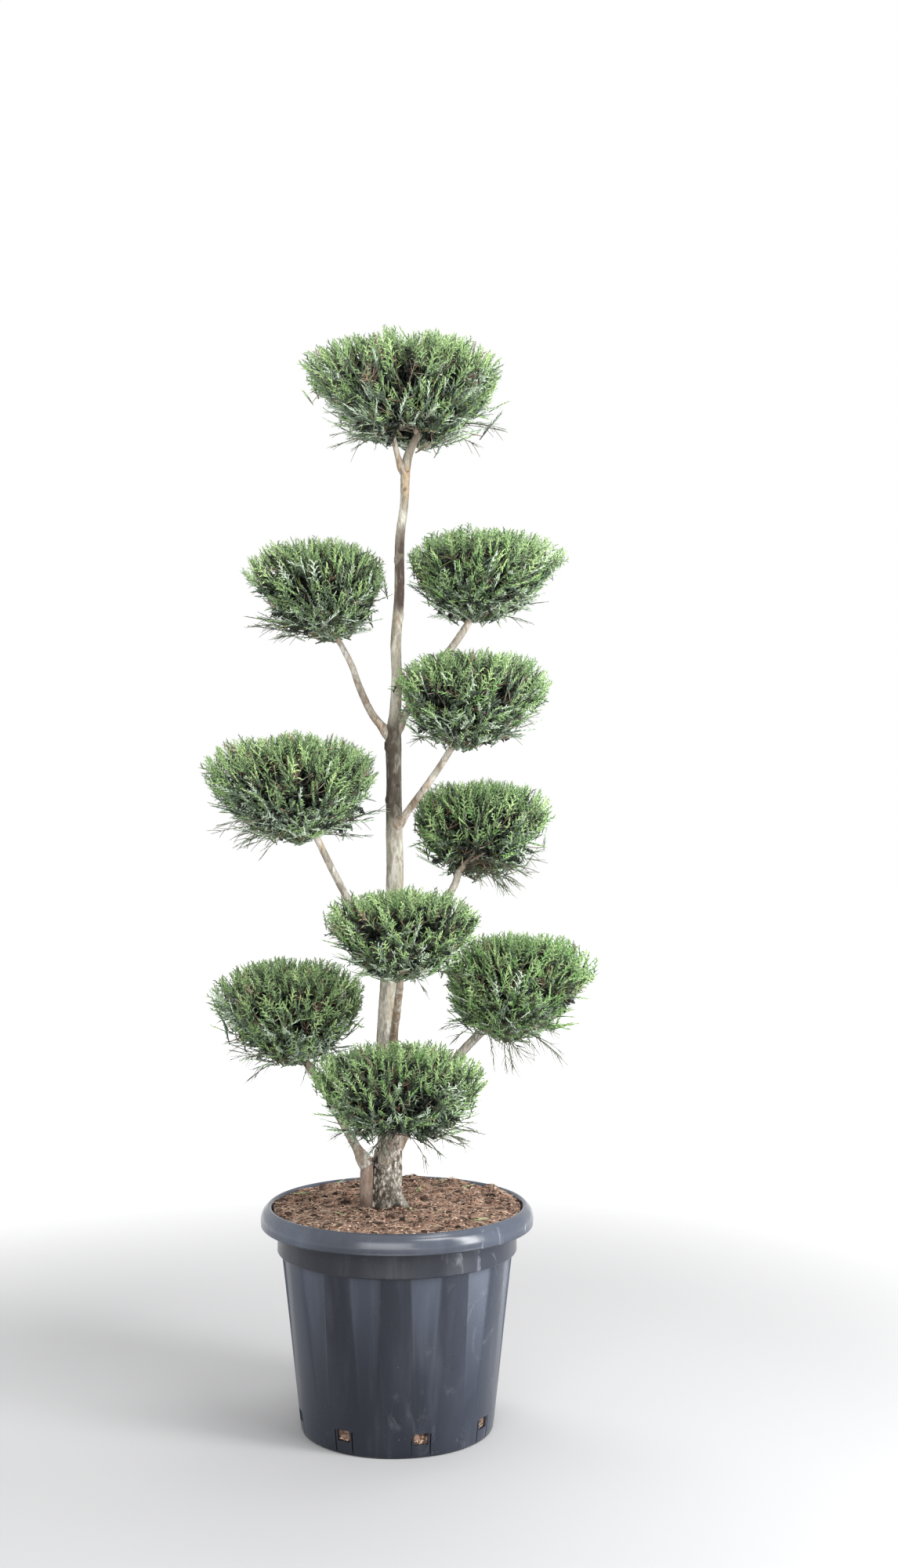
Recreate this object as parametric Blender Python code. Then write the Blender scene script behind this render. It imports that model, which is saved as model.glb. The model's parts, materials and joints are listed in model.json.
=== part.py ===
"""A cloud-pruned leyland cypress in its round nursery pot, in metres, +Z up.

The pot stands on its flat underside at the origin, with its axis on Z. The clipped pads of
foliage are seeded: twigs and toothed sprays fan out from one stem and stop at the pad's outline.
"""

import math
import random

import bmesh
import bpy
from mathutils import Vector

GAP = 0.0003                  # running clearance between neighbouring pieces
FACET_ALLOWANCE = 1.08        # keeps that clearance at the flats of a many-sided piece

# Pot: a thermoformed round container with a rolled rim, a plain band and shallow flutes
POT_HEIGHT = 0.3232
POT_BASE_RADIUS = 0.140
POT_BODY_TOP_RADIUS = 0.168
POT_BODY_TOP = 0.257
POT_BAND_RADIUS = 0.1745
POT_BAND_TOP = 0.296
POT_RIM_RADIUS = 0.1985
POT_WALL = 0.0034
POT_FLOOR = 0.0032
FLUTE_COUNT = 12
FLUTE_CENTRE = math.radians(-74.0)
FLUTE_DEPTH = 0.0032
FLUTE_START = 0.045
FLUTE_EDGE = math.radians(8.5)
FLUTE_FLOOR_EDGE = math.radians(6.5)
SLOT_COUNT = 8
SLOT_CENTRE = math.radians(-75.0)
SLOT_WIDTH = 0.020
SLOT_HEIGHT = 0.016
SLOT_BOTTOM = 0.019

# Soil: mounded a little towards the trunk, which stands on its flat middle
SOIL_CROWN = 0.3228
SOIL_EDGE = 0.3160
SOIL_SEAT_RADIUS = 0.062
SOIL_CLEARANCE = 0.0004

# Trunk stations: height, lean along X, lean along Y, radius
TRUNK = (
    (SOIL_CROWN + GAP, -0.0115, 0.000, 0.0182),
    (0.345, -0.0112, 0.000, 0.0178),
    (0.405, -0.0108, 0.000, 0.0180),
    (0.480, -0.0130, 0.001, 0.0168),
    (0.560, -0.0145, 0.001, 0.0160),
    (0.640, -0.0105, 0.000, 0.0150),
    (0.720, -0.0070, 0.000, 0.0138),
    (0.800, -0.0035, 0.001, 0.0126),
    (0.860, -0.0045, 0.002, 0.0122),
    (0.935, -0.0050, 0.001, 0.0112),
    (1.005, -0.0055, 0.000, 0.0114),
    (1.040, -0.0030, 0.000, 0.0088),
    (1.090, -0.0010, 0.000, 0.0078),
    (1.145, -0.0020, 0.001, 0.0078),
    (1.210, 0.0028, 0.002, 0.0074),
    (1.290, 0.0036, 0.001, 0.0068),
    (1.345, 0.0100, 0.000, 0.0062),
    (1.397, 0.0125, 0.000, 0.0070),
    (1.423, 0.0190, 0.000, 0.0064),
    (1.447, 0.0320, 0.000, 0.0056),
)
TRUNK_SIDES = 12
TRUNK_RINGS = 26
FLARE_HEIGHT = 0.016
FLARE_LOBES = ((-38.0, 0.62), (38.0, 0.30), (112.0, 0.34), (196.0, 0.16), (256.0, 0.26))
FLARE_LOBE_WIDTH = math.radians(26.0)

# Second stem: a low leader cut off short, with bough_lower_left growing from it
SIDE_STEM = (
    (SOIL_CROWN + GAP, -0.0448, -0.010, 0.0100),
    (0.345, -0.0448, -0.010, 0.0096),
    (0.370, -0.0442, -0.010, 0.0094),
    (0.3925, -0.0432, -0.010, 0.0086),
)
SIDE_STEM_SIDES = 10
SIDE_STEM_RINGS = 7
STEMS = {
    "trunk": (TRUNK, TRUNK_RINGS, TRUNK_SIDES),
    "side_stem": (SIDE_STEM, SIDE_STEM_RINGS, SIDE_STEM_SIDES),
}

# Boughs: the limb each grows from, its radius at both ends, and its line from that limb's axis
BOUGHS = {
    "bough_top_left": ("trunk", 0.0050, 0.0038, (
        (0.0120, 0.000, 1.388), (0.0035, -0.002, 1.404), (-0.0055, -0.004, 1.4385))),
    "bough_upper_left": ("trunk", 0.0068, 0.0042, (
        (-0.0050, 0.000, 1.002), (-0.0190, 0.004, 1.0150), (-0.0380, 0.012, 1.0390),
        (-0.0560, 0.024, 1.0760), (-0.0680, 0.036, 1.1090), (-0.0866, 0.050, 1.1450))),
    "bough_upper_right": ("trunk", 0.0066, 0.0052, (
        (-0.0045, 0.000, 1.010), (0.0180, 0.012, 1.0480), (0.0520, 0.034, 1.1000),
        (0.0848, 0.050, 1.1449), (0.1050, 0.060, 1.1760))),
    "bough_mid_right": ("trunk", 0.0060, 0.0046, (
        (-0.0050, 0.000, 0.8700), (0.0080, -0.008, 0.8850), (0.0280, -0.021, 0.9120),
        (0.0570, -0.045, 0.9520), (0.0790, -0.066, 0.9860))),
    "bough_mid_left": ("trunk", 0.0066, 0.0048, (
        (-0.0100, 0.000, 0.6500), (-0.0280, -0.008, 0.6900), (-0.0600, -0.020, 0.7480),
        (-0.0900, -0.035, 0.8060), (-0.1155, -0.050, 0.8610))),
    "bough_right": ("trunk", 0.0066, 0.0052, (
        (-0.0075, 0.000, 0.6780), (0.0160, 0.016, 0.7060), (0.0627, 0.045, 0.7534),
        (0.0820, 0.058, 0.7810), (0.0905, 0.066, 0.8050))),
    "bough_centre": ("trunk", 0.0070, 0.0054, (
        (-0.0140, 0.000, 0.4760), (-0.0100, -0.018, 0.5180), (-0.0050, -0.032, 0.5670),
        (0.0008, -0.060, 0.6080), (0.0060, -0.092, 0.6480))),
    "bough_lower_right": ("trunk", 0.0078, 0.0066, (
        (-0.0110, 0.000, 0.3980), (0.0120, 0.004, 0.4230), (0.0560, 0.014, 0.4890),
        (0.0916, 0.021, 0.5371), (0.1270, 0.030, 0.5730))),
    "bough_lower_left": ("side_stem", 0.0072, 0.0056, (
        (-0.0440, -0.010, 0.3800), (-0.0560, -0.009, 0.4010), (-0.0700, -0.004, 0.4240),
        (-0.0882, 0.004, 0.4542), (-0.1100, 0.018, 0.4880), (-0.1345, 0.034, 0.5210))),
    "bough_bottom": ("trunk", 0.0066, 0.0052, (
        (-0.0140, 0.000, 0.3800), (-0.0190, -0.020, 0.3930), (-0.0120, -0.048, 0.4160),
        (-0.0025, -0.072, 0.4340))),
}
BOUGH_SIDES = 8
RING_SPACING = 0.021

# Pads of foliage: the bough that carries each, the centre of its widest ring, its bottom and top,
# its half width and half depth, the foot of its bowl, and the seed of its twigs
PADS = {
    "foliage_top": ("trunk", (0.0070, 0.000), (1.398, 1.591), (0.153, 0.140), (0.028, 0.000), 11),
    "foliage_upper_left": (
        "bough_upper_left", (-0.1260, 0.050), (1.124, 1.298), (0.115, 0.108), (-0.090, 0.050), 12),
    "foliage_upper_right": (
        "bough_upper_right", (0.1260, 0.062), (1.161, 1.316), (0.124, 0.115), (0.110, 0.062), 13),
    "foliage_mid_right": (
        "bough_mid_right", (0.1095, -0.072), (0.966, 1.126), (0.121, 0.110), (0.086, -0.070), 14),
    "foliage_mid_left": (
        "bough_mid_left", (-0.1510, -0.050), (0.825, 1.007), (0.137, 0.121), (-0.128, -0.050), 15),
    "foliage_right": (
        "bough_right", (0.1215, 0.073), (0.769, 0.943), (0.114, 0.107), (0.108, 0.071), 16),
    "foliage_centre": (
        "bough_centre", (0.0117, -0.130), (0.649, 0.791), (0.116, 0.107), (0.008, -0.110), 17),
    "foliage_lower_right": (
        "bough_lower_right", (0.1770, 0.038), (0.515, 0.716), (0.122, 0.114), (0.162, 0.036), 18),
    "foliage_lower_left": (
        "bough_lower_left", (-0.1620, 0.046), (0.491, 0.676), (0.126, 0.114), (-0.144, 0.040), 19),
    "foliage_bottom": (
        "bough_bottom", (0.0084, -0.131), (0.408, 0.575), (0.132, 0.108), (0.002, -0.094), 20),
}
WIDEST = 0.66                 # where up its height a pad is widest
TOP_CLEFT = (0.0085, 0.011, 0.020)   # the top pad's notch: place along X, half width, depth
SPRAYS = 35
SPRAY_LENGTH = 0.046
SPRAY_SPREAD = math.radians(54.0)
SPRAY_TEETH = 3
SPRAY_THICKNESS = 0.0044
SPRAY_NOTCH = 0.80            # how far out the notches between the teeth lie
SPRAY_MIDDLE = 0.50           # and the thickest point
LOWEST_AIM = math.radians(122.0)
CORE_WIDTH = 0.79
CORE_BOTTOM = 0.25
CORE_TOP = 0.90
CORE_SIDES = 8
CORE_TAPER = (0.62, 1.0, 1.0, 0.80)   # each ring's width, bottom to top, within the core
HEART = 0.36                  # how far up a pad its shoots fan out from
OUTLINE_WAVE = 0.035          # how far a pad's outline swings in and out round it
TWIGS = 4
TWIG_RADIUS = 0.0022
TWIG_REACH = 0.50             # how far out, as a share of the pad's half width
TWIG_SAG = 0.006
STEM_SIDES = 6
STEM_LEAD = 0.010             # straight run of a pad's stem beyond its bough's tip
LIMB_CLEARANCE = 0.0015


def clear_scene():
    for item in list(bpy.data.objects):
        bpy.data.objects.remove(item)


def material(name, colour, roughness, metallic=0.0):
    finish = bpy.data.materials.new(name)
    finish.use_nodes = True
    shader = finish.node_tree.nodes["Principled BSDF"]
    shader.inputs["Base Color"].default_value = (*colour, 1.0)
    shader.inputs["Roughness"].default_value = roughness
    shader.inputs["Metallic"].default_value = metallic
    finish.diffuse_color = (*colour, 1.0)
    return finish


def add_object(name, mesh, finish=None, smooth=None):
    """Links the mesh; smooth is the angle above which an edge stays sharp."""
    mesh.validate()
    if smooth is not None:
        mesh.shade_smooth()
        mesh.set_sharp_from_angle(angle=math.radians(smooth))
    item = bpy.data.objects.new(name, mesh)
    bpy.context.scene.collection.objects.link(item)
    if finish is not None:
        mesh.materials.append(finish)
    return item


def mesh_from_rings(name, rings):
    """Skins equal rings of points, first to last, with a flat cap on each end."""
    mesh = bpy.data.meshes.new(name)
    work = bmesh.new()
    skins = [[work.verts.new(point) for point in ring] for ring in rings]
    count = len(skins[0])
    for lower, upper in zip(skins, skins[1:]):
        for i in range(count):
            j = (i + 1) % count
            work.faces.new((lower[i], lower[j], upper[j], upper[i]))
    work.faces.new(list(reversed(skins[0])))
    work.faces.new(skins[-1])
    bmesh.ops.recalc_face_normals(work, faces=work.faces)
    work.to_mesh(mesh)
    work.free()
    return mesh


def spline(stations, count):
    """Catmull-Rom curve through the stations, as count tuples."""
    last = len(stations) - 1
    found = []
    for step in range(count):
        along = step / (count - 1) * last
        i = min(int(along), last - 1)
        t = along - i
        a = stations[max(i - 1, 0)]
        b = stations[i]
        c = stations[i + 1]
        d = stations[min(i + 2, last)]
        found.append(tuple(
            0.5 * (2 * q + (r - p) * t + (2 * p - 5 * q + 4 * r - s) * t * t
                   + (3 * q - p - 3 * r + s) * t ** 3)
            for p, q, r, s in zip(a, b, c, d)))
    return found


def tube_rings(points, radii, sides, swell=None):
    """Rings square to the line through the points, turned as little as they can be."""
    rings = []
    across = None
    for i, point in enumerate(points):
        ahead = points[min(i + 1, len(points) - 1)] - points[max(i - 1, 0)]
        ahead.normalize()
        if across is None:
            start = Vector((1.0, 0.0, 0.0)) if abs(ahead.x) < 0.9 else Vector((0.0, 1.0, 0.0))
            across = start - ahead * start.dot(ahead)
        else:
            across = across - ahead * across.dot(ahead)
        across.normalize()
        up = ahead.cross(across)
        ring = []
        for side in range(sides):
            angle = math.tau * side / sides
            radius = radii[i] * (swell(angle, point) if swell else 1.0)
            ring.append(point + (across * math.cos(angle) + up * math.sin(angle)) * radius)
        rings.append(ring)
    return rings


def limb_line(name):
    """The limb's points and radii, from its foot to its tip."""
    if name in STEMS:
        stations, count, sides = STEMS[name]
        rows = spline(stations, count)
        return [Vector((x, y, z)) for z, x, y, radius in rows], [row[3] for row in rows]
    parent, thick, thin, stations = BOUGHS[name]
    length = sum((Vector(b) - Vector(a)).length for a, b in zip(stations, stations[1:]))
    count = max(5, round(length / RING_SPACING))
    points = [Vector(row) for row in spline(stations, count)]
    radii = [thick + (thin - thick) * i / (count - 1) for i in range(count)]
    return points, radii


def root_flare(angle, point):
    """How much wider the trunk is than its plain taper, in lobes that run out into roots."""
    height = point.z - TRUNK[0][0]
    swell = 0.0
    for direction, amount in FLARE_LOBES:
        turn = (angle - math.radians(direction) + math.pi) % math.tau - math.pi
        swell += amount * math.exp(-(turn / FLARE_LOBE_WIDTH) ** 2)
    return 1.0 + swell * math.exp(-height / FLARE_HEIGHT)


def limb_rings(name, grow=0.0):
    """Rings of any limb, each radius larger by grow, with a level cut where it meets the soil."""
    points, radii = limb_line(name)
    sides = STEMS[name][2] if name in STEMS else BOUGH_SIDES
    swell = root_flare if name == "trunk" else None
    rings = tube_rings(points, [radius + grow for radius in radii], sides, swell)
    if name in STEMS:
        for point in rings[0]:
            point.z = points[0].z - grow
    if grow:
        ahead = (points[-1] - points[-2]).normalized()
        rings[-1] = [point + ahead * grow for point in rings[-1]]
    return rings


def clearance_cutter(name):
    """The limb grown by the clearance, kept as a hidden cutter."""
    mesh = mesh_from_rings(name + "_clearance", limb_rings(name, GAP * FACET_ALLOWANCE))
    cutter = add_object(name + "_clearance", mesh)
    cutter.hide_render = True
    cutter.display_type = "WIRE"
    return cutter


def apply_modifiers(item):
    """Bakes the object's modifiers into its mesh."""
    graph = bpy.context.evaluated_depsgraph_get()
    baked = bpy.data.meshes.new_from_object(item.evaluated_get(graph))
    item.modifiers.clear()
    item.data = baked


def cut(item, cutter):
    modifier = item.modifiers.new("clear_of_" + cutter.name, "BOOLEAN")
    modifier.operation = "DIFFERENCE"
    modifier.object = cutter


def shells(work):
    """The connected shells of a bmesh, each a list of faces."""
    work.faces.ensure_lookup_table()
    seen = set()
    found = []
    for face in work.faces:
        if face in seen:
            continue
        shell = [face]
        seen.add(face)
        for member in shell:
            for edge in member.edges:
                for other in edge.link_faces:
                    if other not in seen:
                        seen.add(other)
                        shell.append(other)
        found.append(shell)
    return found


def shell_volume(shell):
    total = 0.0
    for face in shell:
        corners = [vert.co for vert in face.verts]
        for a, b in zip(corners[1:], corners[2:]):
            total += corners[0].dot(a.cross(b)) / 6.0
    return total


def keep_largest_shell(item):
    """Drops loose scraps, and the inner shells that would leave a sealed hollow."""
    work = bmesh.new()
    work.from_mesh(item.data)
    found = sorted(shells(work), key=shell_volume, reverse=True)
    spare = [face for shell in found[1:] for face in shell]
    bmesh.ops.delete(work, geom=spare, context="FACES")
    loose = [vert for vert in work.verts if not vert.link_faces]
    bmesh.ops.delete(work, geom=loose, context="VERTS")
    work.to_mesh(item.data)
    work.free()


# Pot and soil


def pot_angles(height):
    """Four angles for each flute: its edges and floor, spread evenly where the flutes run out."""
    share = (height - FLUTE_START) / (POT_BODY_TOP - FLUTE_START)
    share = min(max(share, 0.0), 1.0)
    step = math.tau / FLUTE_COUNT
    outer = step * 3 / 8 + (FLUTE_EDGE - step * 3 / 8) * share
    inner = step / 8 + (FLUTE_FLOOR_EDGE - step / 8) * share
    angles = []
    for flute in range(FLUTE_COUNT):
        centre = FLUTE_CENTRE + flute * step
        angles += [centre - outer, centre - inner, centre + inner, centre + outer]
    return angles, FLUTE_DEPTH * share


def pot_ring(radius, height, body=True):
    """A ring of the pot; on the body the two middle angles of each flute lie deeper."""
    angles, depth = pot_angles(height if body else FLUTE_START)
    ring = []
    for i, angle in enumerate(angles):
        reach = radius - (depth if body and i % 4 in (1, 2) else 0.0)
        ring.append(Vector((reach * math.cos(angle), reach * math.sin(angle), height)))
    return ring


def pot_outside():
    chamfer = 0.003
    rings = [pot_ring(POT_BASE_RADIUS - chamfer, 0.0), pot_ring(POT_BASE_RADIUS, chamfer)]
    slope = (POT_BODY_TOP_RADIUS - POT_BASE_RADIUS) / POT_BODY_TOP
    rings.append(pot_ring(POT_BASE_RADIUS + slope * FLUTE_START, FLUTE_START))
    rings.append(pot_ring(POT_BODY_TOP_RADIUS, POT_BODY_TOP))
    rings.append(pot_ring(POT_BAND_RADIUS - 0.001, POT_BODY_TOP + 0.0025, False))
    rings.append(pot_ring(POT_BAND_RADIUS, POT_BAND_TOP, False))
    return rings


def pot_rim():
    """The rolled rim, from its under edge over the crest to its inner edge."""
    rim = (
        (POT_RIM_RADIUS - 0.0030, POT_BAND_TOP - 0.0005),
        (POT_RIM_RADIUS - 0.0006, POT_BAND_TOP + 0.0025),
        (POT_RIM_RADIUS, POT_BAND_TOP + 0.0105),
        (POT_RIM_RADIUS - 0.0020, POT_BAND_TOP + 0.0190),
        (POT_RIM_RADIUS - 0.0065, POT_BAND_TOP + 0.0250),
        (POT_RIM_RADIUS - 0.0120, POT_HEIGHT),
        (POT_RIM_RADIUS - 0.0155, POT_HEIGHT - 0.0016),
    )
    return [pot_ring(radius, height, False) for radius, height in rim]


def inner_profile():
    """Radius and height of the pot's inner wall, top to bottom."""
    return (
        (POT_RIM_RADIUS - 0.0172, POT_HEIGHT - 0.0062),
        (POT_RIM_RADIUS - 0.0200, POT_BAND_TOP + 0.0030),
        (POT_BAND_RADIUS - POT_WALL, POT_BAND_TOP - 0.0060),
        (POT_BODY_TOP_RADIUS - FLUTE_DEPTH - 0.0028, POT_BODY_TOP - 0.0020),
        (POT_BASE_RADIUS - POT_WALL, POT_FLOOR),
    )


def make_pot():
    rings = pot_outside() + pot_rim()
    rings += [pot_ring(radius, height, False) for radius, height in inner_profile()]
    finish = material("black_plastic", (0.043, 0.050, 0.062), 0.38)
    pot = add_object("pot", mesh_from_rings("pot", rings), finish, smooth=35)
    for slot in range(SLOT_COUNT):
        angle = SLOT_CENTRE + math.tau * slot / SLOT_COUNT
        bpy.ops.mesh.primitive_cube_add(size=1.0)
        cutter = bpy.context.object
        cutter.name = "slot_cutter_" + str(slot)
        middle = SLOT_BOTTOM + SLOT_HEIGHT / 2
        cutter.location = (
            POT_BASE_RADIUS * math.cos(angle), POT_BASE_RADIUS * math.sin(angle), middle)
        cutter.rotation_euler = (0.0, 0.0, angle)
        cutter.scale = (0.022, SLOT_WIDTH, SLOT_HEIGHT)
        cutter.hide_render = True
        cutter.display_type = "WIRE"
        cut(pot, cutter)


def make_soil():
    """The root ball's visible soil and what is under it, one solid that fills the pot."""
    profile = inner_profile()
    upper, lower = profile[:2]
    share = (upper[1] - SOIL_EDGE) / (upper[1] - lower[1])
    rings = [(upper[0] + (lower[0] - upper[0]) * share, SOIL_EDGE)]
    rings += profile[1:-1]
    rings.append((profile[-1][0], POT_FLOOR + GAP))
    skins = [pot_ring(SOIL_SEAT_RADIUS, SOIL_CROWN, False)]
    middle = (SOIL_SEAT_RADIUS + rings[0][0]) / 2
    skins.append(pot_ring(middle, SOIL_EDGE + (SOIL_CROWN - SOIL_EDGE) * 0.62, False))
    skins += [pot_ring(radius - SOIL_CLEARANCE, height, False) for radius, height in rings]
    finish = material("soil", (0.105, 0.058, 0.035), 0.95)
    add_object("soil", mesh_from_rings("soil", skins), finish)


# Trunk and boughs


def make_limbs():
    """The trunk, the side stem and the boughs; returns the cutters that keep others clear."""
    cutters = {}
    for name in STEMS:
        finish = material(name + "_bark", (0.330, 0.265, 0.205), 0.85)
        add_object(name, mesh_from_rings(name, limb_rings(name)), finish, smooth=50)
        cutters[name] = clearance_cutter(name)
    for name, (parent, *line) in BOUGHS.items():
        finish = material(name + "_bark", (0.330, 0.250, 0.180), 0.85)
        bough = add_object(name, mesh_from_rings(name, limb_rings(name)), finish, smooth=50)
        cut(bough, cutters[parent])
        apply_modifiers(bough)
        keep_largest_shell(bough)
        cutters[name] = clearance_cutter(name)
    return cutters


# Foliage


class Pad:
    """One clipped pad: its outline, and the limbs that its twigs keep clear of."""

    def __init__(self, name):
        carrier, centre, (bottom, top), half, foot, seed = PADS[name]
        self.name = name
        self.carrier = carrier
        self.centre = Vector((*centre, 0.0))
        self.foot = Vector((*foot, 0.0))
        self.bottom = bottom
        self.height = top - bottom
        self.half = half
        self.cleft = TOP_CLEFT if name == "foliage_top" else None
        self.dice = random.Random(seed)
        self.phase = self.dice.uniform(0.0, math.tau)
        self.limbs = []
        for limb in [*STEMS, *BOUGHS]:
            points, radii = limb_line(limb)
            self.limbs += [
                (a, b, max(p, q)) for a, b, p, q in zip(points, points[1:], radii, radii[1:])
                if self.near(a) or self.near(b)]
        points, radii = limb_line(carrier)
        self.tip = points[-1]
        self.lead = (points[-1] - points[-2]).normalized()
        self.tip_radius = radii[-1]
        self.heart = self.middle(HEART)

    def near(self, point, margin=0.03):
        flat = Vector((point.x - self.centre.x, point.y - self.centre.y, 0.0))
        level = self.bottom - margin < point.z < self.bottom + self.height + margin
        return level and flat.length < max(self.half) + margin

    def axis(self, share):
        """The middle of the pad at a share of its height: over its foot, then over its centre."""
        lean = (1.0 - min(max(share / WIDEST, 0.0), 1.0)) ** 1.5
        return self.centre.lerp(self.foot, lean)

    def middle(self, share):
        return self.axis(share) + Vector((0.0, 0.0, self.bottom + share * self.height))

    def around(self, share, turn, scale):
        """A point round the middle there, at a share of the pad's half width and half depth."""
        return self.middle(share) + Vector((
            math.cos(turn) * self.half[0] * scale, math.sin(turn) * self.half[1] * scale, 0.0))

    def width(self, share):
        """The outline's width there, as a share of the widest: a bowl with a clipped top."""
        if share <= 0.0 or share >= 1.0:
            return 0.0
        if share < WIDEST:
            return math.sin(math.pi / 2 * (share / WIDEST) ** 0.6)
        return (1.0 - ((share - WIDEST) / (1.0 - WIDEST)) ** 3.4) ** (1.0 / 2.8)

    def holds(self, point):
        share = (point.z - self.bottom) / self.height
        width = self.width(share)
        if width == 0.0:
            return False
        away = point - self.axis(share)
        if self.cleft:
            place, half_width, depth = self.cleft
            dip = depth * math.exp(-((point.x - place) / half_width) ** 2)
            if point.z > self.bottom + self.height - dip:
                return False
        angle = math.atan2(away.y, away.x)
        wave = 1.0 - OUTLINE_WAVE * (1.0 - math.sin(3 * angle + self.phase))
        reach = (away.x / self.half[0]) ** 2 + (away.y / self.half[1]) ** 2
        return reach < (width * wave) ** 2

    def reach(self, start, aim, longest=0.25):
        """How far the outline lies from start along aim."""
        near, far = 0.0, longest
        for _ in range(14):
            middle = (near + far) / 2
            if self.holds(start + aim * middle):
                near = middle
            else:
                far = middle
        return near

    def meets_limb(self, start, end, radius, steps=8):
        for i in range(steps + 1):
            point = start.lerp(end, i / steps)
            for a, b, thickness in self.limbs:
                line = b - a
                share = min(max((point - a).dot(line) / line.length_squared, 0.0), 1.0)
                if (point - a - line * share).length < thickness + radius + LIMB_CLEARANCE:
                    return True
        return False

    def aims(self, count):
        """Directions from the heart: to the widest points, then even from up to below level."""
        golden = math.pi * (3.0 - math.sqrt(5.0))
        found = []
        for quarter in range(4):
            edge = self.around(WIDEST, quarter * math.pi / 2, 1.0)
            found.append((edge - self.heart).normalized())
        count -= len(found)
        for i in range(count):
            rise = 1.0 - (i + 0.5) / count * (1.0 - math.cos(LOWEST_AIM))
            out = math.sqrt(1.0 - rise * rise)
            turn = i * golden + self.phase
            found.append(Vector((
                out * math.cos(turn) * self.half[0], out * math.sin(turn) * self.half[1],
                rise * self.height * 0.72)).normalized())
        return found


def spray_mesh(pad, root, aim):
    """A toothed blade that fans out from its root, thick in the middle, each tooth in outline."""
    turn = Vector((0.0, 0.0, 1.0)).cross(aim)
    if turn.length < 0.2:
        turn = Vector((math.cos(pad.phase), math.sin(pad.phase), 0.0))
    turn.normalize()
    lie = pad.dice.uniform(0.0, math.pi)
    side = turn * math.cos(lie) + aim.cross(turn) * math.sin(lie)
    face = aim.cross(side).normalized()
    tips = []
    for tooth in range(SPRAY_TEETH):
        share = tooth / (SPRAY_TEETH - 1) * 2 - 1
        angle = share * SPRAY_SPREAD / 2
        way = (aim * math.cos(angle) + side * math.sin(angle)).normalized()
        length = SPRAY_LENGTH * (1.12 - 0.22 * abs(share)) * pad.dice.uniform(0.88, 1.06)
        tips.append((way, min(length, pad.reach(root, way) * 0.985)))
    if min(length for way, length in tips) < SPRAY_LENGTH * 0.45:
        return None
    outline = [root]
    for i, (way, length) in enumerate(tips):
        if i:
            before, short = tips[i - 1]
            notch = (way + before).normalized()
            outline.append(root + notch * min(length, short) * SPRAY_NOTCH)
        outline.append(root + way * length)
    if any(pad.meets_limb(root, point, 0.001) for point in outline[1:]):
        return None
    middle = root + aim * min(length for way, length in tips) * SPRAY_MIDDLE
    work = bmesh.new()
    rim = [work.verts.new(point) for point in outline]
    front = work.verts.new(middle + face * SPRAY_THICKNESS / 2)
    back = work.verts.new(middle - face * SPRAY_THICKNESS / 2)
    for i, corner in enumerate(rim):
        following = rim[(i + 1) % len(rim)]
        work.faces.new((corner, following, front))
        work.faces.new((following, corner, back))
    bmesh.ops.recalc_face_normals(work, faces=work.faces)
    mesh = bpy.data.meshes.new(pad.name + "_spray")
    work.to_mesh(mesh)
    work.free()
    return mesh


def core_mesh(pad):
    """The dense middle of the pad, the outline drawn in, that the sprays stand out of."""
    rings = []
    for ring, taper in enumerate(CORE_TAPER):
        share = CORE_BOTTOM + (CORE_TOP - CORE_BOTTOM) * ring / (len(CORE_TAPER) - 1)
        width = pad.width(share) * CORE_WIDTH * taper
        turns = [math.tau * side / CORE_SIDES + pad.phase for side in range(CORE_SIDES)]
        rings.append([pad.around(share, turn, width) for turn in turns])
    return mesh_from_rings(pad.name, rings)


def stem_mesh(pad):
    """The one stem that the pad grows from: it carries on from the limb's tip to the heart."""
    start = pad.tip + pad.lead * GAP
    first = start + pad.lead * STEM_LEAD
    bend = first.lerp(pad.heart, 0.45) + pad.lead * STEM_LEAD / 2
    thick = pad.tip_radius
    radii = [thick, thick, thick * 0.8, thick * 0.6]
    rings = tube_rings([start, first, bend, pad.heart], radii, STEM_SIDES)
    return mesh_from_rings(pad.name + "_stem", rings)


def twig_meshes(pad):
    """The lowest twigs, which leave the stem below the core and rise into its underside."""
    start = pad.tip + pad.lead * STEM_LEAD
    found = []
    for i in range(TWIGS):
        share = HEART + 0.06 * pad.dice.random()
        out = pad.around(share, math.tau * i / TWIGS + pad.phase, TWIG_REACH)
        bend = start.lerp(out, 0.5) - Vector((0.0, 0.0, TWIG_SAG))
        if pad.meets_limb(start.lerp(out, 0.25), out, TWIG_RADIUS):
            continue
        rings = tube_rings([start, bend, out], [TWIG_RADIUS * 1.3, TWIG_RADIUS, TWIG_RADIUS], 3)
        found.append(mesh_from_rings(pad.name + "_twig", rings))
    return found


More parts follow.
